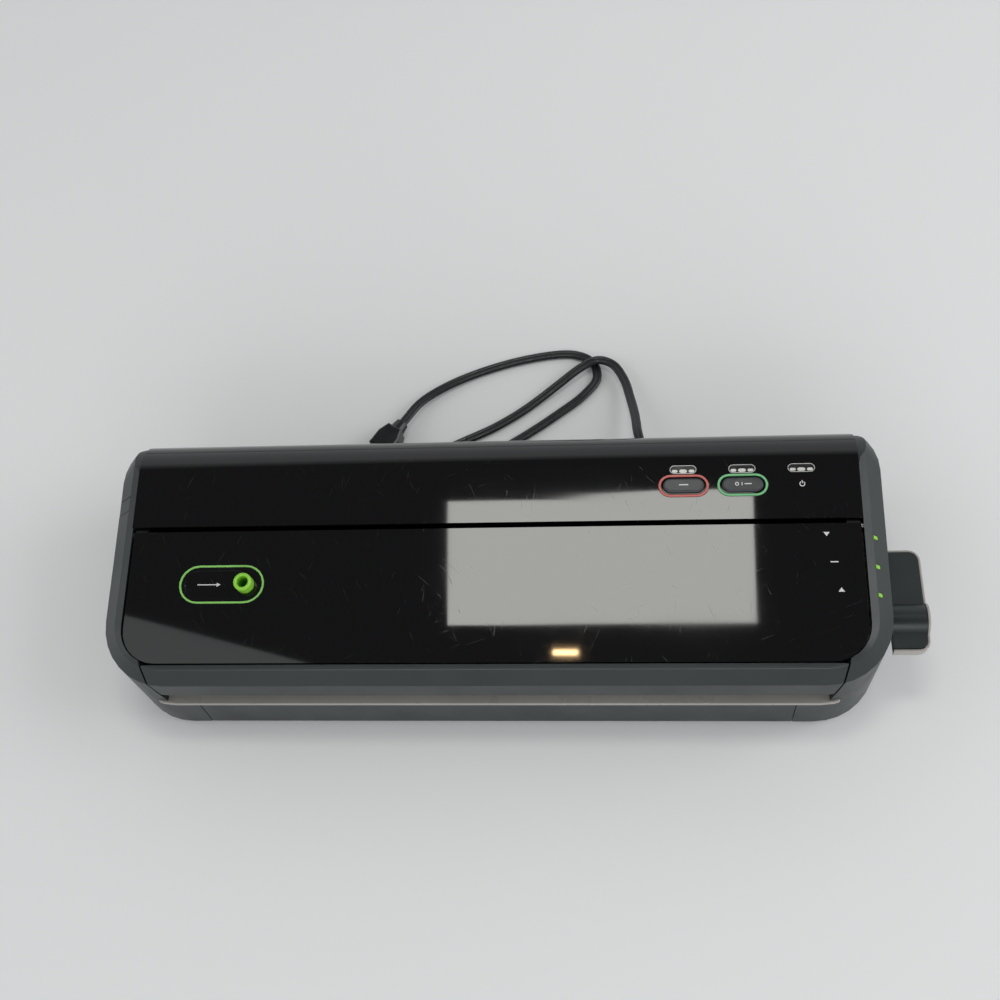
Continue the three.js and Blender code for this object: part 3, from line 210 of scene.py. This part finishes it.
def satin(name, dark, light, roughness=0.42, grain=2600.0, depth=0.00006, spread=0.06):
    """Moulded plastic with a fine spark-eroded grain."""
    s = Shader(name)
    tint = s.blend(s.between(s.noise(18.0, 4.0), 0.3, 0.7, 0.0, 1.0), dark, light)
    rough = s.between(s.noise(40.0, 3.0), 0.3, 0.7, roughness - spread, roughness + spread)
    normal = s.bump(s.noise(grain, 2.0), 0.5, depth)
    return s.set(Base_Color=tint, Roughness=rough, Normal=normal)


def metal(name, dark, light, roughness, along=(8.0, 900.0, 900.0)):
    s = Shader(name)
    streaks = s.noise(1.0, 3.0, s.stretched(along))
    tint = s.blend(streaks, dark, light)
    rough = s.between(streaks, 0.3, 0.7, roughness * 0.8, roughness * 1.2)
    return s.set(Base_Color=tint, Roughness=rough, Normal=s.bump(streaks, 0.2, 0.00003), Metallic=1.0)


def foam(name):
    s = Shader(name)
    pores = s.cells(1500.0)
    tint = s.blend(s.between(pores, 0.0, 0.6, 0.0, 1.0), (0.035, 0.036, 0.038), (0.16, 0.165, 0.17))
    return s.set(Base_Color=tint, Roughness=0.95, Normal=s.bump(pores, 0.9, 0.0003))


def rubber(name, dark, light, roughness=0.62):
    s = Shader(name)
    grain = s.noise(1300.0, 3.0)
    tint = s.blend(s.noise(30.0, 3.0), dark, light)
    rough = s.between(s.noise(60.0), 0.3, 0.7, roughness - 0.08, roughness + 0.08)
    return s.set(Base_Color=tint, Roughness=rough, Normal=s.bump(grain, 0.35, 0.00005))


def woven(name):
    s = Shader(name)
    waves = []
    for direction in ("X", "Y"):
        node = s.add("ShaderNodeTexWave", bands_direction=direction)
        s.put(node.inputs["Vector"], s.place)
        node.inputs["Scale"].default_value = 900.0
        waves.append(node.outputs["Fac"])
    weave = s.math("MULTIPLY", waves[0], waves[1])
    tint = s.blend(weave, (0.20, 0.12, 0.05), (0.36, 0.24, 0.12))
    return s.set(Base_Color=tint, Roughness=0.5, Normal=s.bump(weave, 0.5, 0.0001))


def winding(name):
    s = Shader(name)
    node = s.add("ShaderNodeTexWave", bands_direction="Z")
    s.put(node.inputs["Vector"], s.place)
    node.inputs["Scale"].default_value = 700.0
    turns = node.outputs["Fac"]
    tint = s.blend(turns, (0.16, 0.05, 0.015), (0.45, 0.17, 0.05))
    return s.set(Base_Color=tint, Roughness=0.35, Metallic=0.6, Normal=s.bump(turns, 0.8, 0.0003))


def board(name):
    s = Shader(name)
    tracks = s.add("ShaderNodeTexBrick")
    s.put(tracks.inputs["Vector"], s.place)
    tracks.inputs["Scale"].default_value = 300.0
    tint = s.blend(tracks.outputs["Fac"], (0.01, 0.09, 0.035), (0.03, 0.18, 0.07))
    return s.set(Base_Color=tint, Roughness=0.35, Normal=s.bump(tracks.outputs["Fac"], 0.3, 0.00005))


def cord_vinyl(name):
    s = Shader(name)
    tint = s.blend(s.noise(25.0, 3.0), (0.006, 0.0075, 0.009), (0.011, 0.013, 0.015))
    rough = s.between(s.noise(90.0, 2.0), 0.3, 0.7, 0.24, 0.34)
    return s.set(Base_Color=tint, Roughness=rough, Normal=s.bump(s.noise(400.0), 0.25, 0.0001))


def frosted(name):
    s = Shader(name)
    cloud = s.noise(700.0, 2.0)
    tint = s.blend(cloud, (0.50, 0.50, 0.47), (0.74, 0.74, 0.70))
    return s.set(Base_Color=tint, Roughness=0.22, Coat_Weight=0.4, Normal=s.bump(cloud, 0.2, 0.0001))


def lens(name):
    s = Shader(name)
    tint = s.blend(s.noise(300.0), (0.012, 0.012, 0.013), (0.03, 0.03, 0.03))
    rough = s.between(s.noise(80.0), 0.3, 0.7, 0.05, 0.12)
    return s.set(Base_Color=tint, Roughness=rough, Normal=s.bump(s.noise(200.0), 0.1, 0.0001))


def paper(name):
    s = Shader(name)
    tint = s.blend(s.noise(1.6, 3.0), (0.80, 0.81, 0.815), (0.845, 0.85, 0.85))
    rough = s.between(s.noise(5.0), 0.3, 0.7, 0.75, 0.85)
    return s.set(Base_Color=tint, Roughness=rough, Normal=s.bump(s.noise(180.0, 4.0), 0.08, 0.0004))


def printed(name, dark, light):
    s = Shader(name)
    cloud = s.noise(500.0, 3.0)
    rough = s.between(cloud, 0.3, 0.7, 0.35, 0.5)
    tint = s.blend(cloud, dark, light)
    return s.set(Base_Color=tint, Roughness=rough, Normal=s.bump(cloud, 0.15, 0.00004))


FINISHES = {
    "gloss_black": gloss("gloss_black", (0.0035, 0.0035, 0.004), 0.8),
    "slate": satin("slate", (0.0125, 0.0180, 0.0185), (0.0160, 0.0222, 0.0228), 0.36),
    "button_grey": satin("button_grey", (0.022, 0.025, 0.028), (0.028, 0.032, 0.036), 0.3),
    "black_plastic": satin("black_plastic", (0.010, 0.0105, 0.011), (0.016, 0.0165, 0.017), 0.5),
    "silver_trim": satin("silver_trim", (0.30, 0.285, 0.26), (0.37, 0.35, 0.32), 0.3, 1800.0, 0.00003),
    "lever_silver": satin("lever_silver", (0.36, 0.34, 0.31), (0.44, 0.42, 0.385), 0.35,
                          1800.0, 0.00003),
    "lime": satin("lime", (0.22, 0.56, 0.035), (0.29, 0.66, 0.06), 0.32, 1500.0, 0.00003),
    "port_green": printed("port_green", (0.20, 0.50, 0.10), (0.27, 0.60, 0.15)),
    "coral": printed("coral", (0.50, 0.12, 0.10), (0.60, 0.16, 0.135)),
    "mint": printed("mint", (0.15, 0.46, 0.20), (0.20, 0.55, 0.25)),
    "lamp_lens": lens("lamp_lens"),
    "foam": foam("foam"),
    "black_rubber": rubber("black_rubber", (0.012, 0.012, 0.012), (0.022, 0.022, 0.022)),
    "sealing_tape": woven("sealing_tape"),
    "steel": metal("steel", (0.48, 0.49, 0.50), (0.62, 0.63, 0.65), 0.3),
    "brass": metal("brass", (0.62, 0.42, 0.16), (0.78, 0.58, 0.28), 0.25),
    "circuit_board": board("circuit_board"),
    "transformer_winding": winding("transformer_winding"),
    "grey_hose": rubber("grey_hose", (0.42, 0.44, 0.46), (0.52, 0.54, 0.56), 0.4),
    "bush_plastic": satin("bush_plastic", (0.24, 0.24, 0.23), (0.32, 0.32, 0.31), 0.45),
    "cord_black": cord_vinyl("cord_black"),
}
WHITE_INK = printed("white_ink", (0.62, 0.62, 0.61), (0.72, 0.72, 0.71))
FROSTED = frosted("frosted_diffuser")
PAPER = paper("paper")


# ------------------------------------------------------------------------------------- mesh helpers

def finish_mesh(obj, smooth_angle=None):
    obj.data.shade_smooth()
    if smooth_angle is not None:
        obj.data.set_sharp_from_angle(angle=math.radians(smooth_angle))


def soften(obj, width, angle, segments=3):
    """Rounds every edge sharper than angle, and keeps flat faces flat."""
    bevel = obj.modifiers.new("edges", "BEVEL")
    bevel.width = width * MM
    bevel.segments = segments
    bevel.limit_method = "ANGLE"
    bevel.angle_limit = math.radians(angle)
    bevel.miter_outer = "MITER_ARC"
    bevel.use_clamp_overlap = True
    normals = obj.modifiers.new("normals", "WEIGHTED_NORMAL")
    normals.keep_sharp = True


def attach(obj, body, finish, replaced=()):
    obj.data.materials.clear()
    obj.data.materials.append(finish)
    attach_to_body(obj, body)
    if replaced:
        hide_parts(*replaced)
    return obj


MERGE_DISTANCE = 2e-6
FLAT_ANGLE = math.radians(0.6)
# Nodes with holes through a flat face, which one merged face can't hold: they keep their triangles
PIERCED = {"base_housing", "lid_frame", "transformer", "cord_tie", "plug_body", "pump_head"}


def dress(node, width=0.4, angle=19.0, segments=3, name=None):
    """A copy of a CAD node with rounded edges, in its place."""
    mesh = NODES[node].data.copy()
    obj = add_object(name or f"{node}_finished", mesh)
    bm = bmesh.new()
    bm.from_mesh(mesh)
    bmesh.ops.remove_doubles(bm, verts=bm.verts, dist=MERGE_DISTANCE)
    if node not in PIERCED:
        bmesh.ops.dissolve_limit(bm, angle_limit=FLAT_ANGLE, verts=bm.verts, edges=bm.edges)
    bm.to_mesh(mesh)
    bm.free()
    finish_mesh(obj)
    soften(obj, width, angle, segments)
    return attach(obj, BODY_OF[node], FINISHES[SLOT_OF[node]], [node])


def mesh_object(name, vertices, faces):
    mesh = bpy.data.meshes.new(name)
    mesh.from_pydata([tuple(v) for v in vertices], [], faces)
    mesh.validate()
    return add_object(name, mesh)


def prisms(name, shapes, matrix, low, high, body, finish):
    """Flat shapes drawn in mm, each raised from low to high."""
    bm = bmesh.new()
    for points in shapes:
        bottom = [bm.verts.new(matrix @ Vector((x, y, low))) for x, y in points]
        top = [bm.verts.new(matrix @ Vector((x, y, high))) for x, y in points]
        bm.faces.new(list(reversed(bottom)))
        bm.faces.new(top)
        for i in range(len(points)):
            j = (i + 1) % len(points)
            bm.faces.new((bottom[i], bottom[j], top[j], top[i]))
    mesh = bpy.data.meshes.new(name)
    bmesh.ops.recalc_face_normals(bm, faces=bm.faces)
    bm.to_mesh(mesh)
    bm.free()
    obj = add_object(name, mesh)
    finish_mesh(obj, 30.0)
    return attach(obj, body, finish)


def bands(name, loops, matrix, low, high, body, finish):
    """Rings between an outer and an inner loop with the same number of points."""
    bm = bmesh.new()
    for outer, inner in loops:
        rings = [[bm.verts.new(matrix @ Vector((x, y, z))) for x, y in points]
                 for points, z in ((outer, low), (outer, high), (inner, high), (inner, low))]
        for a, b in zip(rings, rings[1:] + rings[:1]):
            for i in range(len(a)):
                j = (i + 1) % len(a)
                bm.faces.new((a[i], a[j], b[j], b[i]))
    mesh = bpy.data.meshes.new(name)
    bmesh.ops.recalc_face_normals(bm, faces=bm.faces)
    bm.to_mesh(mesh)
    bm.free()
    obj = add_object(name, mesh)
    finish_mesh(obj, 30.0)
    return attach(obj, body, finish)


def circle(radius, x=0.0, y=0.0, start=0.0, end=360.0, steps=24):
    closed = end - start >= 360.0
    count = steps if closed else steps + 1
    angles = [math.radians(start + (end - start) * i / steps) for i in range(count)]
    return [(x + radius * math.cos(a), y + radius * math.sin(a)) for a in angles]


def pill(length, width, x=0.0, y=0.0, steps=10):
    r = width / 2
    reach = length / 2 - r
    points = []
    for side, start in ((1, -90.0), (-1, 90.0)):
        points += circle(r, x + side * reach, y, start, start + 180.0, steps)
    return points


def stroke(points, width):
    """A line of even width through two points, as an outline."""
    (x0, y0), (x1, y1) = points
    d = Vector((x1 - x0, y1 - y0)).normalized() * width / 2
    return [(x0 + d.y, y0 - d.x), (x1 + d.y, y1 - d.x), (x1 - d.y, y1 + d.x), (x0 - d.y, y0 + d.x)]


# -------------------------------------------------------------------------------------------- lead

CORD_ROUTE_MM = [
    (81.5, 92.8, 16), (80.3, 99, 15.4), (79.2, 111, 12.4), (76.4, 127, 8.2), (72.6, 142, 6.2),
    (66, 153, 5.8), (57, 156.6, 5.8), (47.5, 152.3, 5.8), (33, 141, 4.2), (21, 131.5, 2.4),
    (8.6, 121.9, 1.8), (-8, 111.2, 1.8), (-24.8, 102.9, 1.8), (-41, 95, 1.8), (-66, 83, 1.8),
    (-96, 80.1, 2), (-112, 80.3, 3), (-128, 82, 2.4), (-152, 88.8, 1.8), (-172, 95.8, 1.8),
    (-186, 96.9, 1.8), (-194.8, 93.2, 1.8), (-198.5, 84.4, 1.8), (-194.8, 75.6, 1.8), (-186, 71.9, 1.8),
    (-150, 72.3, 1.8), (-112, 73.5, 3), (-82, 73, 1.8), (-52, 74, 1.8), (-22, 84.6, 1.8),
    (9, 103.5, 1.8), (33.3, 121.3, 1.8), (48.2, 134, 1.8), (56, 145.6, 1.8), (53.6, 157, 1.8),
    (42, 163.6, 1.8), (10, 160.6, 1.8), (-29.9, 146.4, 2.4), (-52.6, 130.4, 4.4), (-63.5, 113.6, 6.9),
]
CORD_WIDTH, CORD_THICKNESS = 5.6, 3.0
CORD_EXIT_X, CORD_EXIT_Z = 81.5, 16
REAR_Y, RELIEF_END_Y = 68, 92.2


def smooth_path(points, per_segment):
    """The centripetal Catmull-Rom curve through the points."""
    ends = [points[0] * 2 - points[1]] + points + [points[-1] * 2 - points[-2]]
    result = []
    for i in range(len(points) - 1):
        p = ends[i:i + 4]
        t = [max((p[k + 1] - p[k]).length ** 0.5, 1e-6) for k in range(3)]
        m1 = ((p[1] - p[0]) / t[0] - (p[2] - p[0]) / (t[0] + t[1]) + (p[2] - p[1]) / t[1]) * t[1]
        m2 = ((p[2] - p[1]) / t[1] - (p[3] - p[1]) / (t[1] + t[2]) + (p[3] - p[2]) / t[2]) * t[1]
        for k in range(per_segment):
            s = k / per_segment
            a, b = 2 * s ** 3 - 3 * s ** 2 + 1, s ** 3 - 2 * s ** 2 + s
            c, d = -2 * s ** 3 + 3 * s ** 2, s ** 3 - s ** 2
            result.append(p[1] * a + m1 * b + p[2] * c + m2 * d)
    return result + [points[-1]]


def twin_section(steps=28):
    """Half width and half thickness round a flat twin lead, with a shallow groove between its cores."""
    points = []
    for i in range(steps):
        angle = 2 * math.pi * i / steps
        x = math.copysign(abs(math.cos(angle)) ** 0.8, math.cos(angle)) * CORD_WIDTH / 2
        y = math.copysign(abs(math.sin(angle)) ** 0.8, math.sin(angle)) * CORD_THICKNESS / 2
        groove = math.exp(-((x / 0.6) ** 2)) * 0.62
        points.append((x, y - math.copysign(groove, y)))
    return points


def sweep(name, path, section):
    vertices, faces = [], []
    n = len(section)
    for i, point in enumerate(path):
        tangent = (path[min(i + 1, len(path) - 1)] - path[max(i - 1, 0)]).normalized()
        side = Vector((0, 0, 1)).cross(tangent).normalized()
        up = tangent.cross(side)
        vertices += [point + side * (x * MM) + up * (y * MM) for x, y in section]
    for i in range(len(path) - 1):
        for k in range(n):
            j = (k + 1) % n
            faces.append((i * n + k, i * n + j, (i + 1) * n + j, (i + 1) * n + k))
    faces.append(tuple(reversed(range(n))))
    last = (len(path) - 1) * n
    faces.append(tuple(range(last, last + n)))
    obj = mesh_object(name, vertices, faces)
    bm = bmesh.new()
    bm.from_mesh(obj.data)
    bmesh.ops.recalc_face_normals(bm, faces=bm.faces)
    bm.to_mesh(obj.data)
    bm.free()
    finish_mesh(obj, 60.0)
    return obj


def revolve(name, profile, axis_at, steps=40):
    """A closed profile of (distance along +Y, radius), in mm, turned round Y through axis_at."""
    vertices, faces = [], []
    for along, radius in profile:
        for k in range(steps):
            a = 2 * math.pi * k / steps
            offset = Vector((radius * math.cos(a), along, radius * math.sin(a)))
            vertices.append(axis_at + offset * MM)
    n = steps
    for i in range(len(profile) - 1):
        for k in range(n):
            j = (k + 1) % n
            faces.append((i * n + k, (i + 1) * n + k, (i + 1) * n + j, i * n + j))
    faces.append(tuple(range(n)))
    last = (len(profile) - 1) * n
    faces.append(tuple(reversed(range(last, last + n))))
    obj = mesh_object(name, vertices, faces)
    bm = bmesh.new()
    bm.from_mesh(obj.data)
    bmesh.ops.recalc_face_normals(bm, faces=bm.faces)
    bm.to_mesh(obj.data)
    bm.free()
    finish_mesh(obj, 35.0)
    return obj


def make_lead():
    points = [row(*p) for p in CORD_ROUTE_MM]
    path = smooth_path(points, 9)
    lead = sweep("power_lead", path, twin_section())
    attach(lead, "base", FINISHES["cord_black"], ["mains_cord"])

    relief_profile = [(-8.2, 6.6), (-8.0, 6.9), (-7.0, 6.9), (-6.8, 6.6), (-6.8, 4.9), (0.6, 4.9)]
    ribs = 6
    pitch = 3.4
    for i in range(ribs):
        at = 1.6 + i * pitch
        r = 4.9 - 1.35 * at / 24.0
        next_at = at + pitch
        relief_profile += [(at, r - 0.05), (at + 0.25, r), (next_at - 1.25, r - 0.1),
                           (next_at - 1.0, r - 0.35), (next_at - 0.95, r - 0.95),
                           (next_at - 0.1, r - 0.95)]
    relief_profile += [(22.4, 3.6), (23.6, 3.55), (24.0, 3.35)]
    relief = revolve("ribbed_strain_relief", relief_profile, row(CORD_EXIT_X, REAR_Y, CORD_EXIT_Z))
    attach(relief, "base", FINISHES["black_rubber"], ["strain_relief"])

    plug = dress("plug_body", 1.1, 19.0, 4, "moulded_plug")
    blades = [dress(n, 0.25, 30.0, 2) for n in ("plug_blade_1", "plug_blade_2")]
    tie = dress("cord_tie", 0.25, 30.0, 3)


make_lead()

# ------------------------------------------------------------------------------------ CAD shells

SOFT_EDGES = {
    "left_end_cap": (0.55, 17.0), "right_end_cap": (0.55, 17.0), "left_cap_insert": (0.25, 17.0),
    "lid_front_bar": (0.5, 17.0), "lower_front_panel": (0.4, 17.0), "front_lip": (0.55, 20.0),
    "lid_panel": (0.45, 20.0), "rear_panel": (0.45, 20.0), "base_housing": (0.4, 20.0),
    "lid_frame": (0.25, 20.0), "lid_inner_tray": (0.5, 30.0), "sealing_deck": (0.4, 30.0),
    "vacuum_trough": (0.5, 30.0),
    "lower_gasket": (0.7, 30.0), "upper_gasket": (0.7, 30.0), "sealing_bar": (0.35, 30.0),
    "sealing_tape": (0.1, 30.0), "pressure_strip": (0.5, 30.0), "lid_catch": (0.3, 30.0),
    "port_ring": (0.2, 30.0), "port_plate": (0.25, 30.0), "port_tube": (0.25, 18.0),
    "seal_button": (0.3, 30.0), "vacuum_button": (0.3, 30.0),
    "seal_button_ring": (0.2, 30.0), "vacuum_button_ring": (0.2, 30.0),
    "seal_lamp_lens": (0.25, 30.0), "vacuum_lamp_lens": (0.25, 30.0), "power_lamp_lens": (0.25, 30.0),
    "latch_lever": (0.6, 20.0), "lever_rim": (0.4, 20.0), "latch_bush": (0.3, 30.0),
    "rear_left_foot": (0.6, 30.0), "front_left_foot": (0.6, 30.0),
    "rear_right_foot": (0.6, 30.0), "front_right_foot": (0.6, 30.0),
    "operate_mark": (0.15, 30.0), "store_mark": (0.15, 30.0), "open_mark": (0.15, 30.0),
    "case_screw_1": (0.25, 40.0), "case_screw_2": (0.25, 40.0),
    "case_screw_3": (0.25, 40.0), "case_screw_4": (0.25, 40.0),
    "transformer": (0.8, 30.0), "pump_head": (1.0, 30.0), "pump_motor": (0.8, 40.0),
    "motor_cradle": (0.6, 30.0), "pump_eccentric": (0.4, 40.0), "control_board": (0.2, 30.0),
    "left_hinge_pin": (0.25, 40.0), "right_hinge_pin": (0.25, 40.0), "latch_shaft": (0.5, 40.0),
    "latch_cam": (0.4, 40.0),
}
for node_name, (edge, edge_angle) in SOFT_EDGES.items():
    dress(node_name, edge, edge_angle)
HOSE = NODES["vacuum_hose"].data
HOSE.materials.clear()
HOSE.materials.append(FINISHES[SLOT_OF["vacuum_hose"]])

# ------------------------------------------------------------------------- lamps, symbols and print

BUTTON_X = (103.1, 133.7, 164.3)
BUTTON_Y = 29.6
LAMP_Y = BUTTON_Y + 9.0
BUTTON_TOP = REAR_STEP + 1.1


def make_lamps():
    for name, x in zip(("seal", "vacuum", "power"), BUTTON_X):
        place = on_top(x, LAMP_Y, REAR_STEP)
        bands(f"{name}_lamp_outline", [(pill(13.9, 4.7), pill(13.4, 4.2))], place, -0.45, -0.15,
              "base", FROSTED)
        bars = [
            pill(3.0, 1.6, -4.4, -0.85, 6),
            pill(4.2, 1.9, 0.0, -0.85, 3),
            pill(3.0, 1.6, 4.4, -0.85, 6),
        ]
        prisms(f"{name}_lamp_diffusers", bars, place, -0.5, -0.2, "base", FROSTED)


def make_symbols():
    ink = 0.06
    dash = [stroke(((-2.4, 0.0), (2.4, 0.0)), 0.55)]
    prisms("seal_symbol", dash, on_top(BUTTON_X[0], BUTTON_Y, BUTTON_TOP), -0.1, ink, "seal_key",
           WHITE_INK)
    place = on_top(BUTTON_X[1], BUTTON_Y, BUTTON_TOP)
    marks = [stroke(((-0.4, -0.9), (-0.4, 0.9)), 0.4), stroke(((0.9, 0.0), (4.6, 0.0)), 0.55)]
    prisms("vacuum_symbol", marks, place, -0.1, ink, "vacuum_key", WHITE_INK)
    bands("vacuum_symbol_ring", [(circle(1.05, -3.0), circle(0.6, -3.0))], place, -0.1, ink,
          "vacuum_key", WHITE_INK)
    place = on_top(BUTTON_X[2], BUTTON_Y, REAR_STEP)
    arc_out = circle(1.5, 0.0, 0.0, 125.0, 415.0, 20)
    arc_in = circle(1.05, 0.0, 0.0, 125.0, 415.0, 20)
    prisms("power_symbol", [arc_out + arc_in[::-1], stroke(((0.0, 0.3), (0.0, 1.9)), 0.45)], place,
           -0.1, ink, "base", WHITE_INK)
    # What each lever position does: closed, held, open
    signs = {
        "operate": (175.0, 3.0, [[(-1.6, 0.9), (0.0, -1.3), (1.6, 0.9)]]),
        "store": (178.0, -12.0, [stroke(((-2.0, 0.0), (2.0, 0.0)), 0.6)]),
        "open": (180.5, -26.8, [[(-1.6, -0.9), (1.6, -0.9), (0.0, 1.3)]]),
    }
    for name, (x, y, shapes) in signs.items():
        prisms(f"{name}_sign", shapes, on_top(x, y), -0.1, ink, "lid", WHITE_INK)
    arrow = [stroke(((-7.5, 0.0), (3.0, 0.0)), 0.5), [(3.0, -1.1), (5.2, 0.0), (3.0, 1.1)]]
    prisms("port_arrow", arrow, on_top(-147.5, -20.7), -0.75, -0.62, "lid", WHITE_INK)


make_lamps()
make_symbols()

# ------------------------------------------------------------------------------------ room and light


FLOOR_SIZE = 40.0


def plane(name, size, z):
    h = size / 2
    obj = mesh_object(name, [(-h, -h, z), (h, -h, z), (h, h, z), (-h, h, z)], [(0, 1, 2, 3)])
    obj.data.materials.append(PAPER)
    return obj


plane("floor", FLOOR_SIZE, 0.0)


def sight(px, py):
    """The direction in which the camera looks at a place in its 1000 x 1000 picture."""
    f = LENS / SENSOR * 1000.0
    return (FORWARD + RIGHT * ((px - 500.0) / f) + UP * ((500.0 - py) / f)).normalized()


def mirrored(place, distance):
    """Where a light stands that the lid's top shows at that place."""
    normal = Vector((0.0, -math.sin(SLOPE), math.cos(SLOPE)))
    anchor = row(0.0, SPLIT_Y, SPLIT_Z)
    d = sight(*place)
    at = CAMERA_AT + d * ((anchor - CAMERA_AT).dot(normal) / d.dot(normal))
    return at + d.reflect(normal) * distance


def area_light(name, matrix, width, height, radiance, colour=(1.0, 1.0, 1.0)):
    light = bpy.data.lights.new(name, "AREA")
    light.shape = "RECTANGLE"
    light.size, light.size_y = width, height
    light.energy = radiance * math.pi * width * height
    light.color = colour
    obj = add_object(name, light)
    obj.matrix_world = matrix
    return obj


def window_light(name, corners, distance, radiance, colour=(1.0, 1.0, 1.0)):
    """A light that the lid mirrors at those places: top left, top right, bottom left, bottom right."""
    tl, tr, bl, br = (mirrored(c, distance) for c in corners)
    x_axis = (tr - tl + br - bl).normalized()
    z_axis = x_axis.cross((tl - bl + tr - br).normalized()).normalized()
    centre = (tl + tr + bl + br) / 4
    if z_axis.dot(centre) < 0:
        z_axis = -z_axis
    y_axis = z_axis.cross(x_axis)
    width = ((tr - tl).length + (br - bl).length) / 2
    height = ((tl - bl).length + (tr - br).length) / 2
    return area_light(name, basis(x_axis, y_axis, z_axis, centre), width, height, radiance, colour)


def soft_light(name, at, target, width, height, radiance, colour=(1.0, 1.0, 1.0)):
    at = Vector(at)
    turn = (Vector(target) - at).to_track_quat("-Z", "Y").to_matrix().to_4x4()
    turn.translation = at
    return area_light(name, turn, width, height, radiance, colour)


window_light("window", ((452, 494), (748, 490), (443, 626), (762, 622)), 1.6, 9.0, (1.0, 1.0, 0.95))
window_light("lamp", ((553, 650), (578, 650), (553, 655), (578, 655)), 1.6, 70.0, (1.0, 0.66, 0.32))
window_light("wall", ((118, 614), (310, 664), (98, 690), (290, 740)), 1.4, 1.15, (0.95, 1.0, 1.0))
soft_light("left_soft", (-1.5, -0.1, 1.0), (0, 0, 0), 1.2, 1.2, 0.5)
soft_light("right_soft", (1.6, 0.1, 1.0), (0, 0, 0), 1.2, 1.2, 2.2)
soft_light("front_soft", (0.1, -1.7, 0.9), (0, 0, 0), 1.8, 0.9, 1.5)

world = bpy.data.worlds.new("room")
SCENE.world = world
world.use_nodes = True
wn, wl = world.node_tree.nodes, world.node_tree.links
place = wn.new("ShaderNodeTexCoord")
split = wn.new("ShaderNodeSeparateXYZ")
wl.new(place.outputs["Generated"], split.inputs[0])
fade = wn.new("ShaderNodeMapRange")
wl.new(split.outputs["Z"], fade.inputs["Value"])
for key, number in (("From Min", 0.62), ("From Max", 0.8), ("To Min", 0.8), ("To Max", 0.11)):
    fade.inputs[key].default_value = number
background = wn["Background"]
background.inputs["Color"].default_value = (0.96, 0.98, 1.0, 1.0)
wl.new(fade.outputs["Result"], background.inputs["Strength"])

SCENE.view_settings.view_transform = "Standard"

# --------------------------------------------------------------------------------------------- end

bpy.context.view_layer.update()
